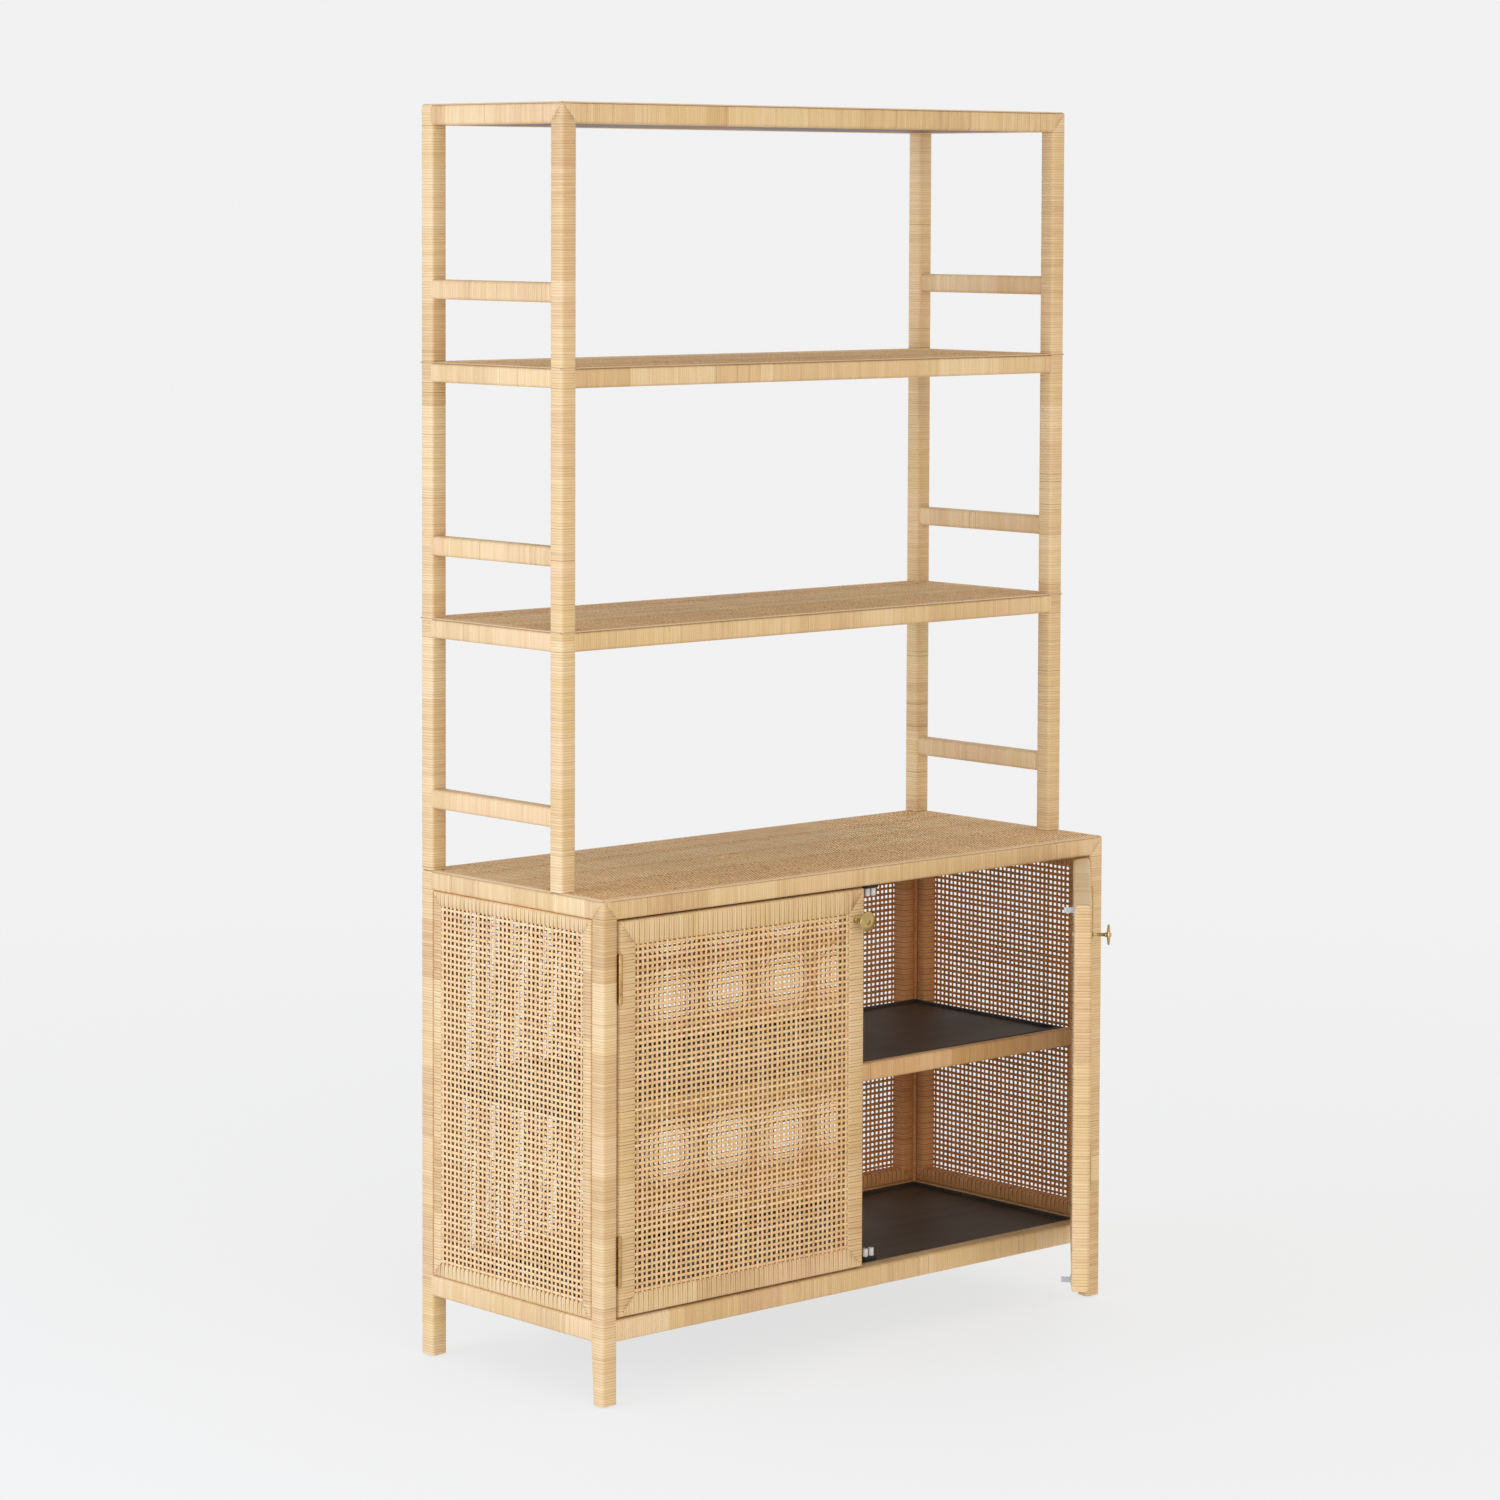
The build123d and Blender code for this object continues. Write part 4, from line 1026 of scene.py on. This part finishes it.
# ---------------- rails between posts
def ring_of_rails(node, front, lower_top=0.0):
    """Four wound rails between four posts."""
    low, high = node_box(node)
    rng = generator(node)
    top = high[2] - lower_top
    x_end = X_IN + OVERLAP
    bars = [
        wound_rail((-x_end, y, low[2]), (x_end, y + BAR, top), 0, rng)
        for y in (front, BACK - BAR)
    ]
    y0, y1 = front + BAR - OVERLAP, BACK - BAR + OVERLAP
    for side in (-1, 1):
        x0, x1 = sorted((side * X_IN, side * X_OUT))
        bars.append(wound_rail((x0, y0, low[2]), (x1, y1, top), 1, rng))
    wrapped(node, bars)


ring_of_rails("bottom_rails", FRONT)
for level in SHELF_LEVELS:
    ring_of_rails(f"shelf_{level}_rails", HUTCH_FRONT, lower_top=BORDER_RISE)
    mat_piece(f"shelf_{level}_mat", POSTS)

GALLERY_HEIGHT = 33.0 * MM    # height of a side rail of the hutch
for side_name in SIDES:
    node = f"gallery_rails_{side_name}"
    low, high = node_box(node)
    rng = generator(node)
    bars = []
    for above in (node_box("cabinet_top_rails")[1][2], *(box[1][2] for box in SHELF_LEVELS.values())):
        top = above + high[2] - SHELF_LEVELS["upper"][1][2]
        start = (low[0], low[1] - OVERLAP, top - GALLERY_HEIGHT)
        end = (high[0], high[1] + OVERLAP, top)
        bars.append(wound_rail(start, end, 1, rng))
    wrapped(node, bars)

# Share of painted shade on every face of the middle shelf's front rail, which stands in shade inside the
# cabinet.
MID_RAIL_PAINTED_SHADE = 0.3
node = "mid_shelf_front_rail"
low, high = node_box(node)
low[0] -= OVERLAP
high[0] += OVERLAP
bar = wound_rail(low, high, 0, generator(node))
wrapped(node, [bar], browned=MID_RAIL_PAINTED_SHADE)


# ---------------- cane panels and doors
STILE_SPREAD = {"panel": 0.2 * MM, "door": 0.3 * MM}     # how far opened gaps spread at the cane
RAIL_SPREAD = {"panel": 1.4 * MM, "door": 0.6 * MM}
CANE_TUCK = 2.0 * MM         # how far the cane runs in under its frame
CANE_INSET = 2.2 * MM        # middle of the cane below the frame's face


def opened(toward, size, spread):
    """How far gaps spread across a member: most at the edge beside the cane, none at the other."""

    def flare(points):
        return np.clip(points[:, 0] * toward / size + 0.5, 0, 1) * spread

    return flare


def panel_members(width, height, thick, stile, bottom, top, kind, rng):
    """Four wound members with mitred corners, in a panel's own axes: a across, b up, c outward."""
    bars = []
    for sign in (-1, 1):
        x0, x1 = (0, stile) if sign < 0 else (width - stile, width)
        origin = np.array([(x0 + x1) / 2, 0, -thick / 2])
        flare = opened(-sign, stile, STILE_SPREAD[kind])
        axes = (Y, X, -Z)
        bar = winding(axes, origin, height, stile, thick, rng, strip=CANE_PITCH[1] / 2, flare=flare)
        edge = 0 if sign < 0 else width
        planes = [
            (Vector((edge, 0, 0)), Vector((-sign * bottom, -stile, 0)).normalized()),
            (Vector((edge, height, 0)), Vector((-sign * top, stile, 0)).normalized()),
        ]
        bars.append(trimmed(bar, planes))
    for sign, rail in ((-1, bottom), (1, top)):
        y0, y1 = (0, rail) if sign < 0 else (height - rail, height)
        origin = np.array([0, (y0 + y1) / 2, -thick / 2])
        flare = opened(-sign, rail, RAIL_SPREAD[kind])
        bar = winding((X, Y, Z), origin, width, rail, thick, rng, strip=CANE_PITCH[0] / 2, flare=flare)
        edge = 0 if sign < 0 else height
        planes = [
            (Vector((0, edge, 0)), Vector((-rail, -sign * stile, 0)).normalized()),
            (Vector((width, edge, 0)), Vector((rail, -sign * stile, 0)).normalized()),
        ]
        bars.append(trimmed(bar, planes))
    return bars


def cane_panel(label, place, size, stile, bottom, top, body="cabinet", split=False):
    """A wound frame and its woven sheet, drawn flat and then placed by a matrix."""
    width, height, thick = size
    rng = generator(label)
    kind = "panel" if body == "cabinet" else "door"
    bars = panel_members(width, height, thick, stile, bottom, top, kind, rng)
    wrapped(f"{label}_frame", bars, body=body, place=place)
    sheet_low = (stile - CANE_TUCK, bottom - CANE_TUCK)
    sheet_high = (width - stile + CANE_TUCK, height - top + CANE_TUCK)
    sheet = cane_sheet(sheet_low, sheet_high, rng)
    place = place @ Matrix.Translation((0, 0, -CANE_INSET))
    if split:
        piece(f"{label}_cane_weft", [sheet[0]], CANE, "cane_weave", body, [f"{label}_cane"], place)
        piece(f"{label}_cane_warp", [sheet[1]], CANE, "cane_weave", body, (), place)
    else:
        piece(f"{label}_cane_weave", sheet, CANE, "cane_weave", body, [f"{label}_cane"], place)


def panel_place(origin, across):
    """Places a panel's own axes: a across, b up, c outward."""
    turn = np.column_stack([across, Z, np.cross(across, Z)])
    return Matrix.Translation(Vector(origin)) @ Matrix(turn.tolist()).to_4x4()


def panel_measures(label, axis):
    """Corners of a panel's frame, its size (across, up, through) and its members' widths."""
    low, high = node_box(f"{label}_frame")
    cane_low, cane_high = node_box(f"{label}_cane")
    members = (cane_low[axis] - low[axis], cane_low[2] - low[2], high[2] - cane_high[2])
    return low, high, (high - low)[[axis, 2, 1 - axis]], members


low, high, size, members = panel_measures("side_panel_left", 1)
cane_panel("side_panel_left", panel_place((low[0], high[1], low[2]), -Y), size, *members)
low, high, size, members = panel_measures("side_panel_right", 1)
cane_panel("side_panel_right", panel_place((high[0], low[1], low[2]), Y), size, *members)
low, high, size, members = panel_measures("back_panel", 0)
cane_panel("back_panel", panel_place((high[0], high[1], low[2]), -X), size, *members, split=True)

# The left door is closed at rest.  The right door is its mirror image, swung open about its pin.
joints = {joint["name"]: joint for joint in frame["joints"]}
hinge = joints["door_right_hinge"]
swing = -math.radians(hinge["range_deg"][0])
pin = Matrix.Translation(Vector(hinge["pos_m"]))
open_right = pin @ Matrix.Rotation(swing, 4, "Z") @ pin.inverted() @ Matrix.Scale(-1, 4, (1, 0, 0))
DOOR_PLACES = {"left": Matrix.Identity(4), "right": open_right}

low, high, size, members = panel_measures("door_left", 0)
flat = panel_place(low, X)
for side_name, place in DOOR_PLACES.items():
    label = f"door_{side_name}"
    cane_panel(label, place @ flat, size, *members, body=label)


# ---------------- turned and cast pieces
LATHE_SIDES = 64


def lathe(profile, direction, origin):
    """A solid turned about a level axis: profile is (radius, distance along it), from end to end."""
    side = np.cross(direction, Z)
    other = np.cross(direction, side)
    angles = np.arange(LATHE_SIDES) * 2 * math.pi / LATHE_SIDES
    radial = np.cos(angles)[:, None] * side + np.sin(angles)[:, None] * other
    rings = [origin + d * direction + r * radial for r, d in profile[1:-1]]
    ends = [origin + d * direction for _, d in (profile[0], profile[-1])]
    verts = np.concatenate([*rings, ends])
    quads = tube_faces(len(rings), LATHE_SIDES)[3]
    j = np.arange(LATHE_SIDES)
    j2 = (j + 1) % LATHE_SIDES
    start = len(rings) * LATHE_SIDES
    last_ring = start - LATHE_SIDES
    fans = np.concatenate([
        np.stack([np.full(LATHE_SIDES, start), j2, j], -1),
        np.stack([np.full(LATHE_SIDES, start + 1), last_ring + j, last_ring + j2], -1),
    ])
    return Part(verts, quads).with_faces(Part(verts, fans))


def arc(centre, radius, start, end, steps):
    """Points of a profile along an arc, angles in degrees from the radial direction."""
    angles = [math.radians(start + (end - start) * i / steps) for i in range(steps + 1)]
    return [(centre[0] + radius * math.cos(a), centre[1] + radius * math.sin(a)) for a in angles]


low, high = node_box("door_left_knob")
centre = (low + high) / 2
radius = (high[0] - low[0]) / 2
reach = high[1] - low[1]
BASE, STEM, COLLAR, EYE = 5.8 * MM, 2.9 * MM, 3.8 * MM, 3.6 * MM     # radii
BASE_HEIGHT, COLLAR_HEIGHT, RIM_ROUND, EYE_RISE = 1.4 * MM, 3.0 * MM, 1.8 * MM, 1.5 * MM
DISC_THICK = 6.2 * MM
BEAD = 0.2 * MM              # rounding of the base's and the collar's edges
disc_front = reach - EYE_RISE
disc_back = disc_front - DISC_THICK
disc_middle = (disc_front + disc_back) / 2
profile = [(0, 0), (BASE - BEAD, 0), (BASE, BEAD), (BASE, BASE_HEIGHT)]
profile += arc((BASE, BASE_HEIGHT + BASE - STEM), BASE - STEM, 270, 180, 6)
profile += [(STEM, disc_back - COLLAR_HEIGHT), (COLLAR - BEAD, disc_back - COLLAR_HEIGHT)]
profile += [(COLLAR, disc_back - COLLAR_HEIGHT + BEAD), (COLLAR, disc_back)]
profile += arc((radius - RIM_ROUND, disc_middle), RIM_ROUND, -78, 78, 10)
profile += [(EYE, disc_front)]
profile += arc((EYE - EYE_RISE, disc_front), EYE_RISE, 0, 90, 5)
profile += [(0, reach)]
for side_name, place in DOOR_PLACES.items():
    turned = lathe(profile, -Y, np.array([centre[0], high[1], centre[2]]))
    door = f"door_{side_name}"
    piece(f"{door}_knob_turned", [turned], BRASS, "brass", door, [f"{door}_knob"], place)


# ---------------- CAD pieces that stay
def dress(names, material, bevel=0.0):
    """Gives CAD nodes their material and, where wanted, softened edges."""
    for name in names:
        item = frame["nodes"][name]
        item.data.materials.clear()
        item.data.materials.append(material)
        if bevel:
            modifier = item.modifiers.new("softened", "BEVEL")
            modifier.width = bevel
            modifier.segments = 2
            modifier.limit_method = "ANGLE"
            modifier.angle_limit = math.radians(40)


BOARDS = ["cabinet_top_board", "hutch_top_board", "floor_board", "floor_rim"]
BOARDS += ["shelf_upper_board", "shelf_lower_board", "mid_shelf_board", "mid_shelf_rim", "mid_shelf_cleats"]
HINGES = [f"hinge_{side}_{part}" for side in SIDES for part in ("leg_leaves", "door_leaves", "pins")]
SCREWS = ["hinge_leg_screws", "hinge_left_door_screws", "hinge_right_door_screws"]
KNOB_SCREWS = ["door_left_knob_screw", "door_right_knob_screw"]
dress(BOARDS, DARK_BOARD, bevel=0.6 * MM)
dress(["hutch_ceiling_board"], BROWN_BOARD, bevel=0.6 * MM)
dress(HINGES, HINGE_BRASS, bevel=0.2 * MM)
dress(SCREWS, HINGE_BRASS)
dress(KNOB_SCREWS, STEEL)
dress(["catch_brackets"], BLACK, bevel=0.2 * MM)
dress(["door_left_strikes", "door_right_strikes"], ZINC, bevel=0.2 * MM)
dress(["catch_rollers"], ROLLER, bevel=0.4 * MM)
dress(["foot_glides"], FOOT, bevel=1.0 * MM)
dress(["frame_dowels", "hutch_dowels"], DOWEL)
